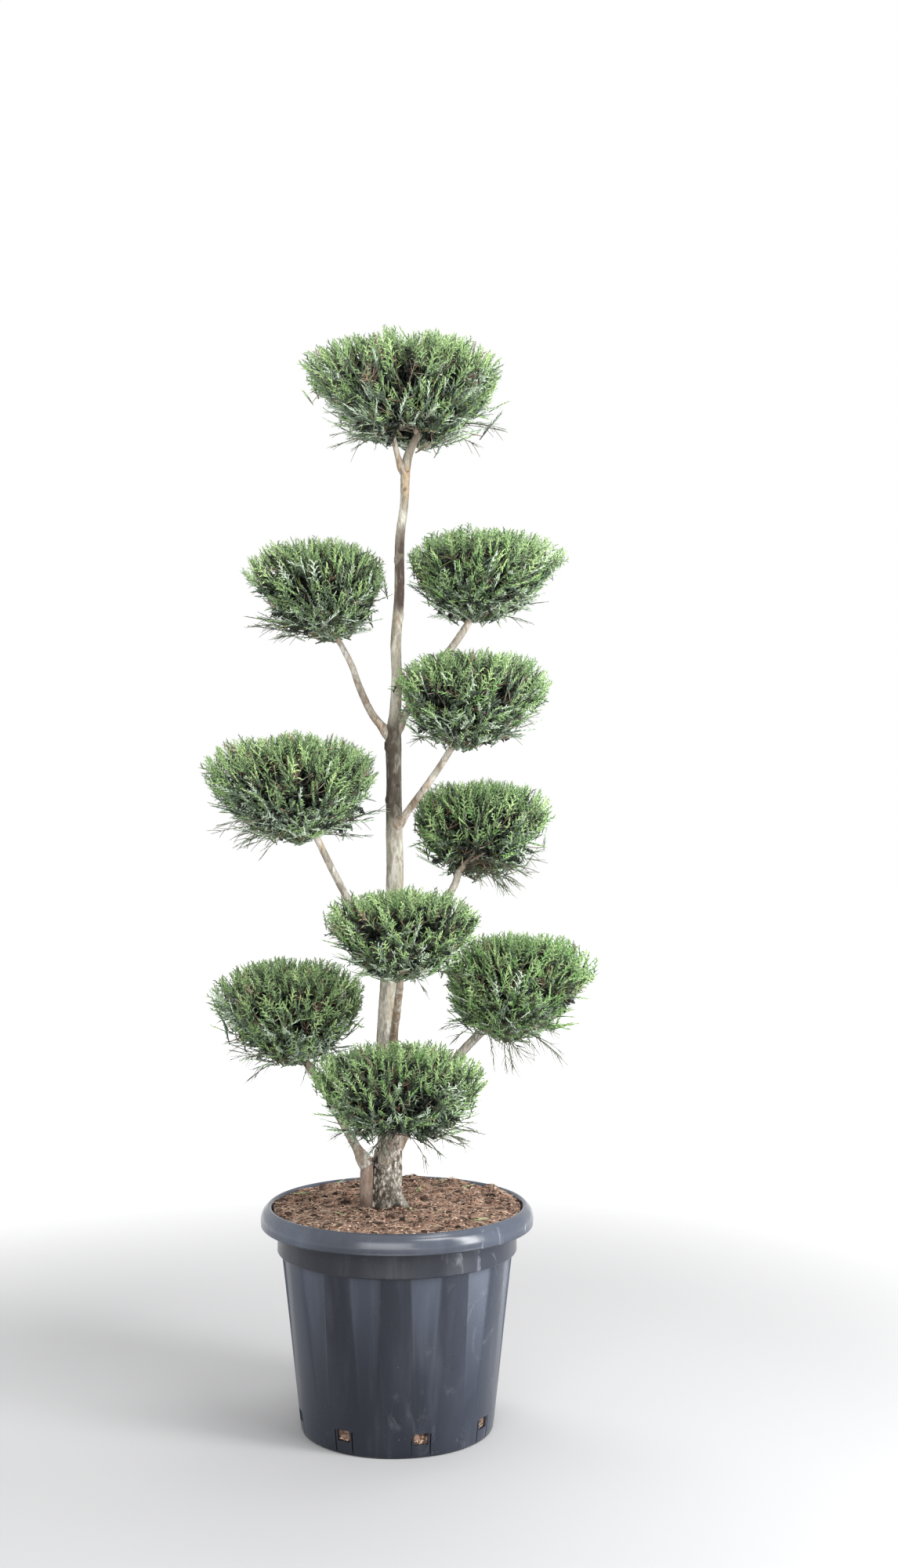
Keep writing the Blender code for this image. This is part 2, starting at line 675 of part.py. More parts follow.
def make_pad(name, cutters):
    pad = Pad(name)
    pieces = [stem_mesh(pad), *twig_meshes(pad)]
    for aim in pad.aims(SPRAYS):
        span = pad.reach(pad.heart, aim)
        root = pad.heart + aim * max(span - SPRAY_LENGTH, 0.0) * 0.92
        blade = spray_mesh(pad, root, aim)
        if blade is not None:
            pieces.append(blade)
    group = bpy.data.collections.new(name + "_pieces")
    bpy.context.scene.collection.children.link(group)
    for piece in pieces:
        group.objects.link(bpy.data.objects.new(piece.name, piece))
    finish = material(name + "_green", (0.085, 0.165, 0.060), 0.75)
    item = add_object(name, core_mesh(pad), finish)
    union = item.modifiers.new("fuse", "BOOLEAN")
    union.operation = "UNION"
    union.operand_type = "COLLECTION"
    union.solver = "EXACT"
    union.collection = group
    apply_modifiers(item)
    for piece in list(group.objects):
        bpy.data.objects.remove(piece)
    bpy.data.collections.remove(group)
    cut(item, cutters[pad.carrier])
    if pad.carrier != "trunk":
        cut(item, cutters["trunk"])
    apply_modifiers(item)
    keep_largest_shell(item)


def main():
    clear_scene()
    bpy.context.scene.unit_settings.scale_length = 1.0
    make_pot()
    make_soil()
    cutters = make_limbs()
    for name in PADS:
        make_pad(name, cutters)


main()
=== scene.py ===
import json
import math
import random
import time

import bmesh
import bpy
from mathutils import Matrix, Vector, noise

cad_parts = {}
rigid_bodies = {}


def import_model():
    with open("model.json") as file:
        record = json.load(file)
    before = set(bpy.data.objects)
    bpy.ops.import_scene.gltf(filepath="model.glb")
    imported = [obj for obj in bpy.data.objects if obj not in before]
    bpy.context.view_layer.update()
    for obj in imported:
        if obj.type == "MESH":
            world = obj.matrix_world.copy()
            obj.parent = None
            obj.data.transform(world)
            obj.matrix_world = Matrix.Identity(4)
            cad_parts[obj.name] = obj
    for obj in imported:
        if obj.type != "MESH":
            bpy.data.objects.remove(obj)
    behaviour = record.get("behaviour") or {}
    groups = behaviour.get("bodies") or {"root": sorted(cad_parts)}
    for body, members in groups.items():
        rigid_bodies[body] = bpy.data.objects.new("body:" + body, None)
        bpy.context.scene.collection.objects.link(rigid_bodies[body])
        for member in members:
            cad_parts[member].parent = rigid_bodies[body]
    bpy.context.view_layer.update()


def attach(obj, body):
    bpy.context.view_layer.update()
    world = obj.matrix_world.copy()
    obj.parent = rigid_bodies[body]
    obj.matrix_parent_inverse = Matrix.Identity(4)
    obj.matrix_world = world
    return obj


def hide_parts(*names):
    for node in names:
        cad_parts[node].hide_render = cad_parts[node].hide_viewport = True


startTime = time.time()
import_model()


def report(stage):
    print(f"{time.time() - startTime:6.1f} s  {stage}", flush=True)


# Shader maths and materials

class Signal:
    # a shader socket that works in Python sums; each sum adds its Math node
    def __init__(self, finish, socket):
        self.finish = finish
        self.socket = socket

    def math(self, operation, *values):
        return self.finish.node("ShaderNodeMath", {"operation": operation}, dict(enumerate(values)))

    def __add__(self, other):
        return self.math("ADD", self, other)

    def __mul__(self, other):
        return self.math("MULTIPLY", self, other)

    def __sub__(self, other):
        return self.math("SUBTRACT", self, other)

    def __rsub__(self, other):
        return self.math("SUBTRACT", other, self)

    __radd__ = __add__
    __rmul__ = __mul__


class Finish:
    # a material in the making; node() adds any node and gives back one of its outputs
    def __init__(self, name, settings):
        self.material = bpy.data.materials.new(name)
        self.material.use_nodes = True
        self.tree = self.material.node_tree
        self.surface(settings)

    def surface(self, sockets):
        for socket, value in sockets.items():
            self.put(self.tree.nodes["Principled BSDF"], socket, value)
        return self.material

    def put(self, node, socket, value):
        if isinstance(value, Signal):
            self.tree.links.new(value.socket, node.inputs[socket])
        elif hasattr(value, "__len__") and len(value) == 3 and node.inputs[socket].type == "RGBA":
            node.inputs[socket].default_value = (*value, 1.0)
        else:
            node.inputs[socket].default_value = value

    def node(self, kind, settings=None, sockets=None, output=0):
        made = self.tree.nodes.new(kind)
        for name, value in (settings or {}).items():
            setattr(made, name, value)
        for socket, value in (sockets or {}).items():
            self.put(made, socket, value)
        return Signal(self, made.outputs[output])

    def spot(self):
        return self.node("ShaderNodeTexCoord", output="Object")

    def place(self, stretch=(1.0, 1.0, 1.0)):
        return self.node("ShaderNodeMapping", None, {"Vector": self.spot(), "Scale": stretch})

    def along(self, axis):
        return self.node("ShaderNodeSeparateXYZ", None, {"Vector": self.spot()}, axis)

    def distance(self, place):
        sockets = {0: self.spot(), 1: place}
        return self.node("ShaderNodeVectorMath", {"operation": "DISTANCE"}, sockets, "Value")

    def value(self, name):
        return self.node("ShaderNodeAttribute", {"attribute_name": name}, output="Fac")

    def noise(self, scale, detail, stretch=(1.0, 1.0, 1.0), roughness=0.55, distortion=0.0):
        values = {"Vector": self.place(stretch), "Scale": scale, "Detail": detail,
                  "Roughness": roughness, "Distortion": distortion}
        return self.node("ShaderNodeTexNoise", None, values, "Fac")

    def cells(self, scale):
        values = {"Vector": self.place(), "Scale": scale}
        return self.node("ShaderNodeTexVoronoi", {"feature": "F1"}, values, "Distance")

    def between(self, value, low, high):
        # nought below low, one above high, smooth between
        settings = {"interpolation_type": "SMOOTHSTEP"}
        return self.node("ShaderNodeMapRange", settings, {0: value, 1: low, 2: high})

    def band(self, value, fromLow, toFull, fromFull, toHigh):
        # one inside a band, nought outside, smooth at both edges
        return self.between(value, fromLow, toFull) * self.between(value, toHigh, fromFull)

    def blend(self, under, over, share):
        sockets = {0: share, 6: under, 7: over}
        return self.node("ShaderNodeMix", {"data_type": "RGBA"}, sockets, 2)

    def coats(self, colour, look, *coats):
        # thin coats over a colour, each the name of a colour in the look and its share
        for name, share in coats:
            colour = self.blend(colour, look[name], share)
        return colour

    def bump(self, *layers):
        # bumps on top of one another, each a height, its strength and its distance
        under = {}
        for height, strength, distance in layers:
            sockets = {"Height": height, "Strength": strength, "Distance": distance, **under}
            under = {"Normal": self.node("ShaderNodeBump", None, sockets)}
        return under["Normal"]


def tone(red, green, blue):
    # a colour as a screen shows it, 0 to 255, as linear light
    return tuple(
        part / 255 / 12.92 if part <= 10.3 else ((part / 255 + 0.055) / 1.055) ** 2.4
        for part in (red, green, blue))


def potPlastic():
    look = {   # colours, gloss, then heights on the pot
        "base": tone(19, 23, 32), "flute": tone(48, 55, 68), "dustAndSheen": tone(114, 120, 132),
        "bandShade": tone(8, 12, 22), "scuffAndSheen": tone(168, 172, 180), "speck": tone(196, 192, 184),
        "roughness": 0.21, "specular": 0.42, "band": (0.2565, 0.2590, 0.2945, 0.2970),
        "rim": (0.294, 0.302), "wornFrom": (0.255, 0.262), "wallFrom": (0.03, 0.25),
    }
    finish = Finish("pot_plastic_black", {"Specular IOR Level": look["specular"]})
    level, aside = finish.along("Z"), finish.along("X")
    # the pot's right and left sides, where the colours below paint sheen
    right = finish.between(aside, 0.02, 0.16)
    left = finish.between(aside, -0.08, -0.17)
    cloud = finish.noise(9.0, 5.0, (1.0, 1.0, 0.45), distortion=0.6)
    # streak: soft vertical bands that paint reflections
    streak = finish.noise(38.0, 5.0, (1.0, 1.0, 0.08))
    scuffAndSheen = finish.between(finish.noise(26.0, 8.0, (1.0, 1.0, 0.55), 0.68, 1.2), 0.56, 0.76)
    patch = finish.between(finish.noise(4.5, 2.0), 0.42, 0.66)
    speck = 1 - finish.between(finish.cells(165.0), 0.05, 0.085)
    rare = finish.between(finish.noise(21.0, 3.0), 0.60, 0.72)
    flute = finish.value("flute") * finish.between(level, *look["wallFrom"])
    rim = finish.between(level, *look["rim"])
    worn = finish.between(level, *look["wornFrom"]) * finish.between(aside, 0.05, 0.12)
    colour = finish.coats(
        look["base"], look,
        # painted sheen: lighter flute panels and lighter left and right sides stand in for reflections
        ("flute", flute * (0.25 + cloud * 0.40) + left * 1.1 + right * 0.72),
        # dust on the flutes, with painted sheen on the right-hand flutes
        ("dustAndSheen", flute * (right * 0.36 + cloud * 0.08)),
        # painted shade on the band under the rim, less on the right
        ("bandShade", finish.band(level, *look["band"]) * (0.80 - right * 0.6)),
        ("dustAndSheen", rim * cloud * 0.30),
        ("dustAndSheen", finish.between(cloud, 0.45, 0.80) * 0.06),
        # painted reflection in vertical streaks
        ("dustAndSheen", finish.between(streak, 0.50, 0.80) * 0.10),
        # scuffs, and on the right side whitish painted sheen
        ("scuffAndSheen", scuffAndSheen * (patch * 0.08 + right * 0.22 + worn * 0.4)),
        ("speck", speck * rare * 0.55))
    relief = finish.bump(
        (finish.noise(640.0, 3.0), 0.10, 0.0006),
        (finish.noise(30.0, 3.0, (1.0, 1.0, 0.3)), 0.10, 0.004))
    rough = look["roughness"] + cloud * 0.12 + scuffAndSheen * 0.10 - rim * 0.07
    return finish.surface({"Base Color": colour, "Roughness": rough, "Normal": relief})


def soilPeat():
    look = {   # colours, then the dark place at the side stem's foot
        "dark": tone(46, 36, 31), "mid": tone(147, 121, 106), "light": tone(196, 170, 150),
        "fibre": tone(214, 194, 172), "shadeFrom": (-0.029, -0.015, 0.320),
    }
    finish = Finish("soil_peat", {"Roughness": 0.95, "Specular IOR Level": 0.12})
    lump = finish.noise(38.0, 5.0, distortion=0.8)
    crumb = finish.noise(240.0, 6.0, roughness=0.7)
    thread = finish.noise(150.0, 6.0, (1.0, 3.4, 1.0), 0.75, 3.5)
    gap = finish.noise(62.0, 2.0)
    away = finish.distance(look["shadeFrom"])
    colour = finish.coats(
        look["dark"], look,
        ("mid", finish.between(crumb, 0.34, 0.60)),
        ("light", finish.between(lump, 0.48, 0.72) * 0.55),
        ("fibre", finish.between(thread, 0.60, 0.68) * 0.45),
        ("dark", finish.between(lump, 0.50, 0.36) * 0.55),
        ("dark", finish.between(gap, 0.48, 0.36) * 0.85),
        ("dark", finish.between(away, 0.040, 0.016) * 0.9))
    relief = finish.bump((crumb + thread * 0.6, 0.8, 0.003))
    return finish.surface({"Base Color": colour, "Normal": relief})


def bark(name, skin, pale, ochre, flaky):
    # grey skin with ochre patches; the mesh's crevice values paint shade into the fissures and knot
    # hollows
    look = {   # colours, then heights on the trunk and, for nearTrunk, places across it
        "pale": pale, "shade": tone(90, 80, 70), "ochre": tone(160, 126, 84),
        "wetAndShade": tone(62, 56, 48), "crevice": tone(40, 34, 29), "flake": tone(214, 209, 202),
        "foot": tone(126, 116, 108), "maroon": tone(54, 43, 37), "russet": tone(104, 82, 62),
        "crack": tone(66, 57, 50), "wetAndShadeBand": (0.850, 0.900, 1.005, 1.045),
        "maroonBand": (1.165, 1.205, 1.275, 1.325), "ochreBand": (1.345, 1.362, 1.400, 1.425),
        "nearTrunk": (-0.080, -0.020, 0.015, 0.070), "flakyBelow": (0.66, 0.44),
        "sunkBelow": (0.350, 0.322),
    }
    finish = Finish(name, {"Roughness": 0.82, "Specular IOR Level": 0.25})
    drift = finish.noise(34.0, 5.0, (1.0, 1.0, 0.30), 0.6, 0.4)
    patch = finish.noise(52.0, 4.0, (1.0, 1.0, 0.22), 0.6, 0.8)
    streak = finish.noise(105.0, 5.0, (1.0, 1.0, 0.34), 0.62, 0.9)
    fine = finish.noise(330.0, 5.0, (1.0, 1.0, 0.35), 0.7)
    rise, aside = finish.along("Z"), finish.along("X")
    colour = finish.coats(
        skin, look,
        ("pale", finish.between(drift, 0.42, 0.64) * 0.8),
        ("shade", finish.between(drift, 0.46, 0.30) * 0.65),
        ("ochre", finish.between(patch, 0.52, 0.66) * ochre),
        ("shade", finish.between(streak, 0.52, 0.38) * 0.55))
    if flaky:
        damp = finish.between(finish.noise(16.0, 3.0, (1.0, 1.0, 0.5)), 0.26, 0.46)
        # the trunk's left side darker: painted shade; the streaks and damp patches darken it as wet
        # bark
        wetAndShade = finish.between(aside, 0.006, -0.006) * 0.40
        wetAndShade = wetAndShade + finish.between(streak, 0.66, 0.44) * 0.5 + damp * 0.28
        red = finish.between(aside, -0.004, 0.004) * 0.55
        red = red + finish.between(streak, 0.66, 0.46) * 0.45 + 0.15
        low = finish.between(rise, *look["flakyBelow"])
        scale = finish.noise(205.0, 4.0, (1.0, 1.0, 0.6), 0.65)
        colour = finish.coats(
            colour, look,
            ("wetAndShade", finish.band(rise, *look["wetAndShadeBand"]) * wetAndShade),
            ("maroon", finish.band(rise, *look["maroonBand"]) * red),
            ("ochre", finish.band(rise, *look["ochreBand"]) * finish.between(patch, 0.46, 0.58) * 0.45),
            ("foot", low * finish.between(drift, 0.62, 0.40) * 0.7),
            ("crack", low * finish.between(scale, 0.49, 0.38) * 0.80),
            ("flake", low * finish.between(scale, 0.52, 0.62) * 0.9))
    else:
        near = finish.band(aside, *look["nearTrunk"])
        russet = near * (0.15 + finish.between(streak, 0.58, 0.42) * 0.55)
        colour = finish.blend(colour, look["russet"], russet)
    colour = finish.coats(
        colour, look,
        ("maroon", finish.between(rise, *look["sunkBelow"]) * 0.60),
        ("shade", finish.between(fine, 0.50, 0.34) * 0.45),
        # painted shade in the fissures and knot hollows
        ("crevice", finish.value("crevice") * 0.78))
    relief = finish.bump(
        (fine, 0.55, 0.0012), (finish.noise(120.0, 4.0, (1.0, 1.0, 2.2)), 0.30, 0.001))
    return finish.surface({"Base Color": colour, "Normal": relief})


def cutWood():
    finish = Finish("cut_wood", {"Roughness": 0.85, "Specular IOR Level": 0.2})
    ring = finish.noise(420.0, 3.0)
    colour = finish.blend(tone(196, 178, 142), tone(232, 222, 196), finish.between(ring, 0.4, 0.6))
    return finish.surface({"Base Color": colour, "Normal": finish.bump((ring, 0.3, 0.0006))})


def plainFinish(name, colour, roughness, specular):
    settings = {"Base Color": colour, "Roughness": roughness, "Specular IOR Level": specular}
    return Finish(name, settings).material


# Meshes and geometry node trees

def meshOf(name, corners, faces, smooth=False):
    mesh = bpy.data.meshes.new(name)
    mesh.from_pydata(corners, [], faces)
    if smooth:
        mesh.shade_smooth()
    return mesh


def addObject(name, data):
    item = bpy.data.objects.new(name, data)
    bpy.context.scene.collection.objects.link(item)
    return item


def addPiece(name, mesh, replaced=()):
    piece = addObject(name, mesh)
    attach(piece, "root")
    if replaced:
        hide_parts(*replaced)
    report(f"{name}: {len(mesh.polygons)} faces")


def holderOf(mesh):
    return addObject(mesh.name + "_holder", mesh)


def plainMesh(item):
    # the object's mesh with its modifiers applied; the object goes
    graph = bpy.context.evaluated_depsgraph_get()
    mesh = bpy.data.meshes.new_from_object(item.evaluated_get(graph))
    bpy.data.objects.remove(item)
    return mesh


def pointValues(mesh, name, kind, values):
    layer = mesh.attributes.new(name, kind, "POINT")
    layer.data.foreach_set("vector" if kind == "FLOAT_VECTOR" else "value", values)


def ringFaces(first, rings, sides, flip=False):
    # quads between rings of corners that follow one another
    faces = []
    for near in range(first, first + (rings - 1) * sides, sides):
        for side in range(sides):
            after = (side + 1) % sides
            face = (near + side, near + after, near + sides + after, near + sides + side)
            faces.append((face[0], *face[:0:-1]) if flip else face)
    return faces


def fanFaces(first, sides, middle, order=1):
    # triangles from a ring of corners to one point
    return [(*(first + side, first + (side + 1) % sides)[::order], middle) for side in range(sides)]


class Growth:
    # a geometry node tree in the making, with named inputs
    def __init__(self, name, inputs):
        self.tree = bpy.data.node_groups.new(name, "GeometryNodeTree")
        face = self.tree.interface
        face.new_socket(name="Geometry", in_out="INPUT", socket_type="NodeSocketGeometry")
        for label, (kind, value) in inputs.items():
            socket = face.new_socket(name=label, in_out="INPUT", socket_type="NodeSocket" + kind)
            if value is not None:
                socket.default_value = value
        face.new_socket(name="Geometry", in_out="OUTPUT", socket_type="NodeSocketGeometry")
        self.entry = self.tree.nodes.new("NodeGroupInput").outputs
        self.exit = self.tree.nodes.new("NodeGroupOutput").inputs

    def node(self, kind, settings=None, sockets=None, output=0):
        made = self.tree.nodes.new(kind)
        for name, value in (settings or {}).items():
            setattr(made, name, value)
        for socket, value in (sockets or {}).items():
            if isinstance(value, bpy.types.NodeSocket):
                self.tree.links.new(value, made.inputs[socket])
            else:
                made.inputs[socket].default_value = value
        return made.outputs[output]

    def attribute(self, name, kind):
        settings = {"data_type": kind}
        return self.node("GeometryNodeInputNamedAttribute", settings, {"Name": name})

    def random(self, low, high, seed):
        # numbered sockets: this node has several of the same name
        settings, sockets = {"data_type": "FLOAT"}, {2: low, 3: high, "Seed": seed}
        return self.node("FunctionNodeRandomValue", settings, sockets, 1)

    def floored(self, value):
        return self.node("ShaderNodeMath", {"operation": "FLOOR"}, {0: value})

    def kit(self, name):
        # the shapes of a collection, to be picked by number
        sockets = {"Collection": self.entry[name], "Separate Children": True, "Reset Children": True}
        return self.node("GeometryNodeCollectionInfo", None, sockets)

    def realized(self, shape):
        return self.node("GeometryNodeRealizeInstances", None, {"Geometry": shape})

    def paint(self, shape, palette, index):
        # one Set Material for each finish, on the faces whose index names it
        for number, finish in enumerate(palette):
            same = self.node("FunctionNodeCompare", {"data_type": "INT", "operation": "EQUAL"},
                             {2: index, 3: number})
            shape = self.node("GeometryNodeSetMaterial", None,
                              {"Geometry": shape, "Selection": same, "Material": finish})
        return shape

    def close(self, shape):
        self.tree.links.new(shape, self.exit["Geometry"])
        return self.tree


def bake(mesh, tree, values, name):
    # runs the tree on a mesh and gives back the plain result
    holder = holderOf(mesh)
    modifier = holder.modifiers.new(tree.name, "NODES")
    modifier.node_group = tree
    for socket in tree.interface.items_tree:
        if socket.in_out == "INPUT" and socket.name in values:
            modifier[socket.identifier] = values[socket.name]
    result = plainMesh(holder)
    result.name = name
    for attribute in list(result.attributes):
        kept = attribute.is_internal or attribute.is_required or attribute.name == "material_index"
        if not kept:
            result.attributes.remove(attribute)
    return result


def collectionOf(name, meshes):
    group = bpy.data.collections.new(name)
    for number, mesh in enumerate(meshes):
        group.objects.link(bpy.data.objects.new(f"{name}_{number:02d}", mesh))
    return group


def dropCollection(group):
    for item in list(group.objects):
        bpy.data.objects.remove(item)
    bpy.data.collections.remove(group)


# Limbs: the same stations as the solids, read more finely

soilCrown = 0.3228
trunkStations = (
    (soilCrown + 0.0003, -0.0115, 0.000, 0.0182), (0.345, -0.0112, 0.000, 0.0178),
    (0.405, -0.0108, 0.000, 0.0180), (0.480, -0.0130, 0.001, 0.0168),
    (0.560, -0.0145, 0.001, 0.0160), (0.640, -0.0105, 0.000, 0.0150),
    (0.720, -0.0070, 0.000, 0.0138), (0.800, -0.0035, 0.001, 0.0126),
    (0.860, -0.0045, 0.002, 0.0122), (0.935, -0.0050, 0.001, 0.0112),
    (1.005, -0.0055, 0.000, 0.0114), (1.040, -0.0030, 0.000, 0.0088),
    (1.090, -0.0010, 0.000, 0.0078), (1.145, -0.0020, 0.001, 0.0078),
    (1.210, 0.0028, 0.002, 0.0074), (1.290, 0.0036, 0.001, 0.0068),
    (1.345, 0.0100, 0.000, 0.0062), (1.397, 0.0125, 0.000, 0.0070),
    (1.423, 0.0190, 0.000, 0.0064), (1.447, 0.0320, 0.000, 0.0056),
)
sideStations = (
    (soilCrown + 0.0003, -0.0448, -0.010, 0.0100), (0.345, -0.0448, -0.010, 0.0096),
    (0.370, -0.0442, -0.010, 0.0094), (0.3925, -0.0432, -0.010, 0.0086),
)
stems = {"trunk": trunkStations, "side_stem": sideStations}
boughs = {   # girth at the foot and at the tip, then the points between
    "bough_top_left": (0.0050, 0.0038, (
        (0.0120, 0.000, 1.388), (0.0035, -0.002, 1.404), (-0.0055, -0.004, 1.4385))),
    "bough_upper_left": (0.0068, 0.0042, (
        (-0.0050, 0.000, 1.002), (-0.0190, 0.004, 1.0150), (-0.0380, 0.012, 1.0390),
        (-0.0560, 0.024, 1.0760), (-0.0680, 0.036, 1.1090), (-0.0866, 0.050, 1.1450))),
    "bough_upper_right": (0.0066, 0.0052, (
        (-0.0045, 0.000, 1.010), (0.0180, 0.012, 1.0480), (0.0520, 0.034, 1.1000),
        (0.0848, 0.050, 1.1449), (0.1050, 0.060, 1.1760))),
    "bough_mid_right": (0.0060, 0.0046, (
        (-0.0050, 0.000, 0.8700), (0.0080, -0.008, 0.8850), (0.0280, -0.021, 0.9120),
        (0.0570, -0.045, 0.9520), (0.0790, -0.066, 0.9860))),
    "bough_mid_left": (0.0066, 0.0048, (
        (-0.0100, 0.000, 0.6500), (-0.0280, -0.008, 0.6900), (-0.0600, -0.020, 0.7480),
        (-0.0900, -0.035, 0.8060), (-0.1155, -0.050, 0.8610))),
    "bough_right": (0.0066, 0.0052, (
        (-0.0075, 0.000, 0.6780), (0.0160, 0.016, 0.7060), (0.0627, 0.045, 0.7534),
        (0.0820, 0.058, 0.7810), (0.0905, 0.066, 0.8050))),
    "bough_centre": (0.0070, 0.0054, (
        (-0.0140, 0.000, 0.4760), (-0.0100, -0.018, 0.5180), (-0.0050, -0.032, 0.5670),
        (0.0008, -0.060, 0.6080), (0.0060, -0.092, 0.6480))),
    "bough_lower_right": (0.0078, 0.0066, (
        (-0.0110, 0.000, 0.3980), (0.0120, 0.004, 0.4230), (0.0560, 0.014, 0.4890),
        (0.0916, 0.021, 0.5371), (0.1270, 0.030, 0.5730))),
    "bough_lower_left": (0.0072, 0.0056, (
        (-0.0440, -0.010, 0.3800), (-0.0560, -0.009, 0.4010), (-0.0700, -0.004, 0.4240),
        (-0.0882, 0.004, 0.4542), (-0.1100, 0.018, 0.4880), (-0.1345, 0.034, 0.5210))),
    "bough_bottom": (0.0066, 0.0052, (
        (-0.0140, 0.000, 0.3800), (-0.0190, -0.020, 0.3930), (-0.0120, -0.048, 0.4160),
        (-0.0025, -0.072, 0.4340))),
}
limbDetail = {
    "trunkSides": 72, "sideStemSides": 44, "boughSides": 30, "ringSpacing": 0.0018,
    "sunk": 0.004, "sideRough": 0.30, "boughRough": 0.20, "lowBoughRough": 0.42,
    "flareHeight": 0.016, "flareWidth": math.radians(26.0),
    "flareLobes": ((-38.0, 0.46), (38.0, 0.30), (112.0, 0.34), (196.0, 0.16), (256.0, 0.26)),
    "plateSize": 0.0046, "plateHeight": 0.36, "plateEdge": (0.03, 0.30), "plateDepth": 0.0012,
    "plateLift": 0.0006, "grain": 0.00030, "grainScale": 3.1, "wave": 0.045, "waveScale": 34.0,
    "roughBelow": 0.40, "smoothAbove": 0.66, "smoothest": 0.16,
    "collar": 0.55, "collarLength": 0.012, "collarStart": 1.6,
}
lowBoughs = ("bough_lower_left", "bough_lower_right")
footRows = 48
footRidges = (   # what stands on the trunk's foot: its path, girth by share of it, sides, roughness
    (((-0.0155, -0.0120, 0.3960), (-0.0120, -0.0150, 0.3680), (-0.0010, -0.0170, 0.3420),
      (0.0120, -0.0205, 0.3200)),
     lambda share: 0.0052 + 0.0022 * math.sin(math.pi * share ** 0.8 * 0.80), 24, 0.8),
    # this ridge fills the gap by the side stem; its high roughness darkens it as painted shade
    (((-0.0290, 0.0020, 0.4050), (-0.0318, -0.0010, 0.3700), (-0.0330, -0.0040, 0.3400),
      (-0.0345, -0.0070, 0.3190)),
     lambda share: 0.0046 + 0.0020 * share, 20, 1.5),
)
knots = (   # height, turn round the trunk in degrees from +X, size
    (1.364, -95.0, 0.0042), (0.990, 205.0, 0.0052), (0.912, 215.0, 0.0045),
    (0.9316, -60.0, 0.0042), (0.700, -110.0, 0.0040), (0.536, -70.0, 0.0044),
    (1.180, 20.0, 0.0038), (1.262, 160.0, 0.0036), (0.770, 60.0, 0.0044),
)


def spline(stations, count):
    # Catmull-Rom curve through the stations
    last = len(stations) - 1
    found = []
    for step in range(count):
        along = step / (count - 1) * last
        i = min(int(along), last - 1)
        t = along - i
        a, b = stations[max(i - 1, 0)], stations[i]
        c, d = stations[i + 1], stations[min(i + 2, last)]
        found.append(tuple(
            0.5 * (2 * q + (r - p) * t + (2 * p - 5 * q + 4 * r - s) * t * t
                   + (3 * q - p - 3 * r + s) * t ** 3)
            for p, q, r, s in zip(a, b, c, d)))
    return found


def limbLine(name, spacing):
    # the limb's points and radii, from its foot to its tip
    if name in stems:
        stations = stems[name]
        length = stations[-1][0] - stations[0][0]
        rows = spline(stations, max(4, round(length / spacing)))
        return [Vector((x, y, z)) for z, x, y, _ in rows], [row[3] for row in rows]
    thick, thin, stations = boughs[name]
    length = sum((Vector(b) - Vector(a)).length for a, b in zip(stations, stations[1:]))
    count = max(5, round(length / spacing))
    points = [Vector(row) for row in spline(stations, count)]
    return points, [thick + (thin - thick) * i / (count - 1) for i in range(count)]


def ringFrames(points):
    # a pair of cross directions for each point, turned as little as they can be
    frames = []
    across = None
    for i in range(len(points)):
        ahead = (points[min(i + 1, len(points) - 1)] - points[max(i - 1, 0)]).normalized()
        if across is None:
            across = Vector((1.0, 0.0, 0.0)) if abs(ahead.x) < 0.9 else Vector((0.0, 1.0, 0.0))
        across = (across - ahead * across.dot(ahead)).normalized()
        frames.append((across.copy(), ahead.cross(across)))
    return frames


def smoothStep(value, low, high):
    share = min(max((value - low) / (high - low), 0.0), 1.0)
    return share * share * (3.0 - 2.0 * share)


def rootFlare(turn, height):
    # how much wider the trunk is at its foot, more so over its roots
    swell = 0.0
    for direction, amount in limbDetail["flareLobes"]:
        off = (turn - math.radians(direction) + math.pi) % math.tau - math.pi
        swell += amount * math.exp(-(off / limbDetail["flareWidth"]) ** 2)
    return 1.0 + swell * math.exp(-height / limbDetail["flareHeight"])


def barkRelief(point, girth, rough):
    # how far the bark stands off its plain girth, and how deep in a crevice the point lies, which
    # paints shade there
    detail = limbDetail
    size = detail["plateSize"]
    tall = Vector((point.x / size, point.y / size, point.z / size * detail["plateHeight"]))
    distances, centres = noise.voronoi(tall)
    plate = smoothStep(distances[1] - distances[0], *detail["plateEdge"])
    lift = noise.noise(centres[0] * 3.7)
    grain = noise.fractal(tall * detail["grainScale"], 1.0, 2.0, 4)
    wave = noise.noise(point * detail["waveScale"])
    height = rough * (detail["plateDepth"] * (plate - 1.0) + detail["plateLift"] * lift)
    height += detail["grain"] * grain * (0.5 + rough) + girth * detail["wave"] * wave
    return height, (1.0 - plate) * rough


def knotRelief(point, spots):
    # a raised ring round a hollow at each spot, with painted shade in the hollow
    height, dark = 0.0, 0.0
    for place, size in spots:
        away = (point - place).length / size
        if away < 3.0:
            height += 0.34 * size * math.exp(-((away - 1.0) / 0.45) ** 2)
            height -= 0.40 * size * math.exp(-(away / 0.55) ** 2)
            dark = max(dark, 0.85 * math.exp(-(away / 0.75) ** 2))
    return height, dark


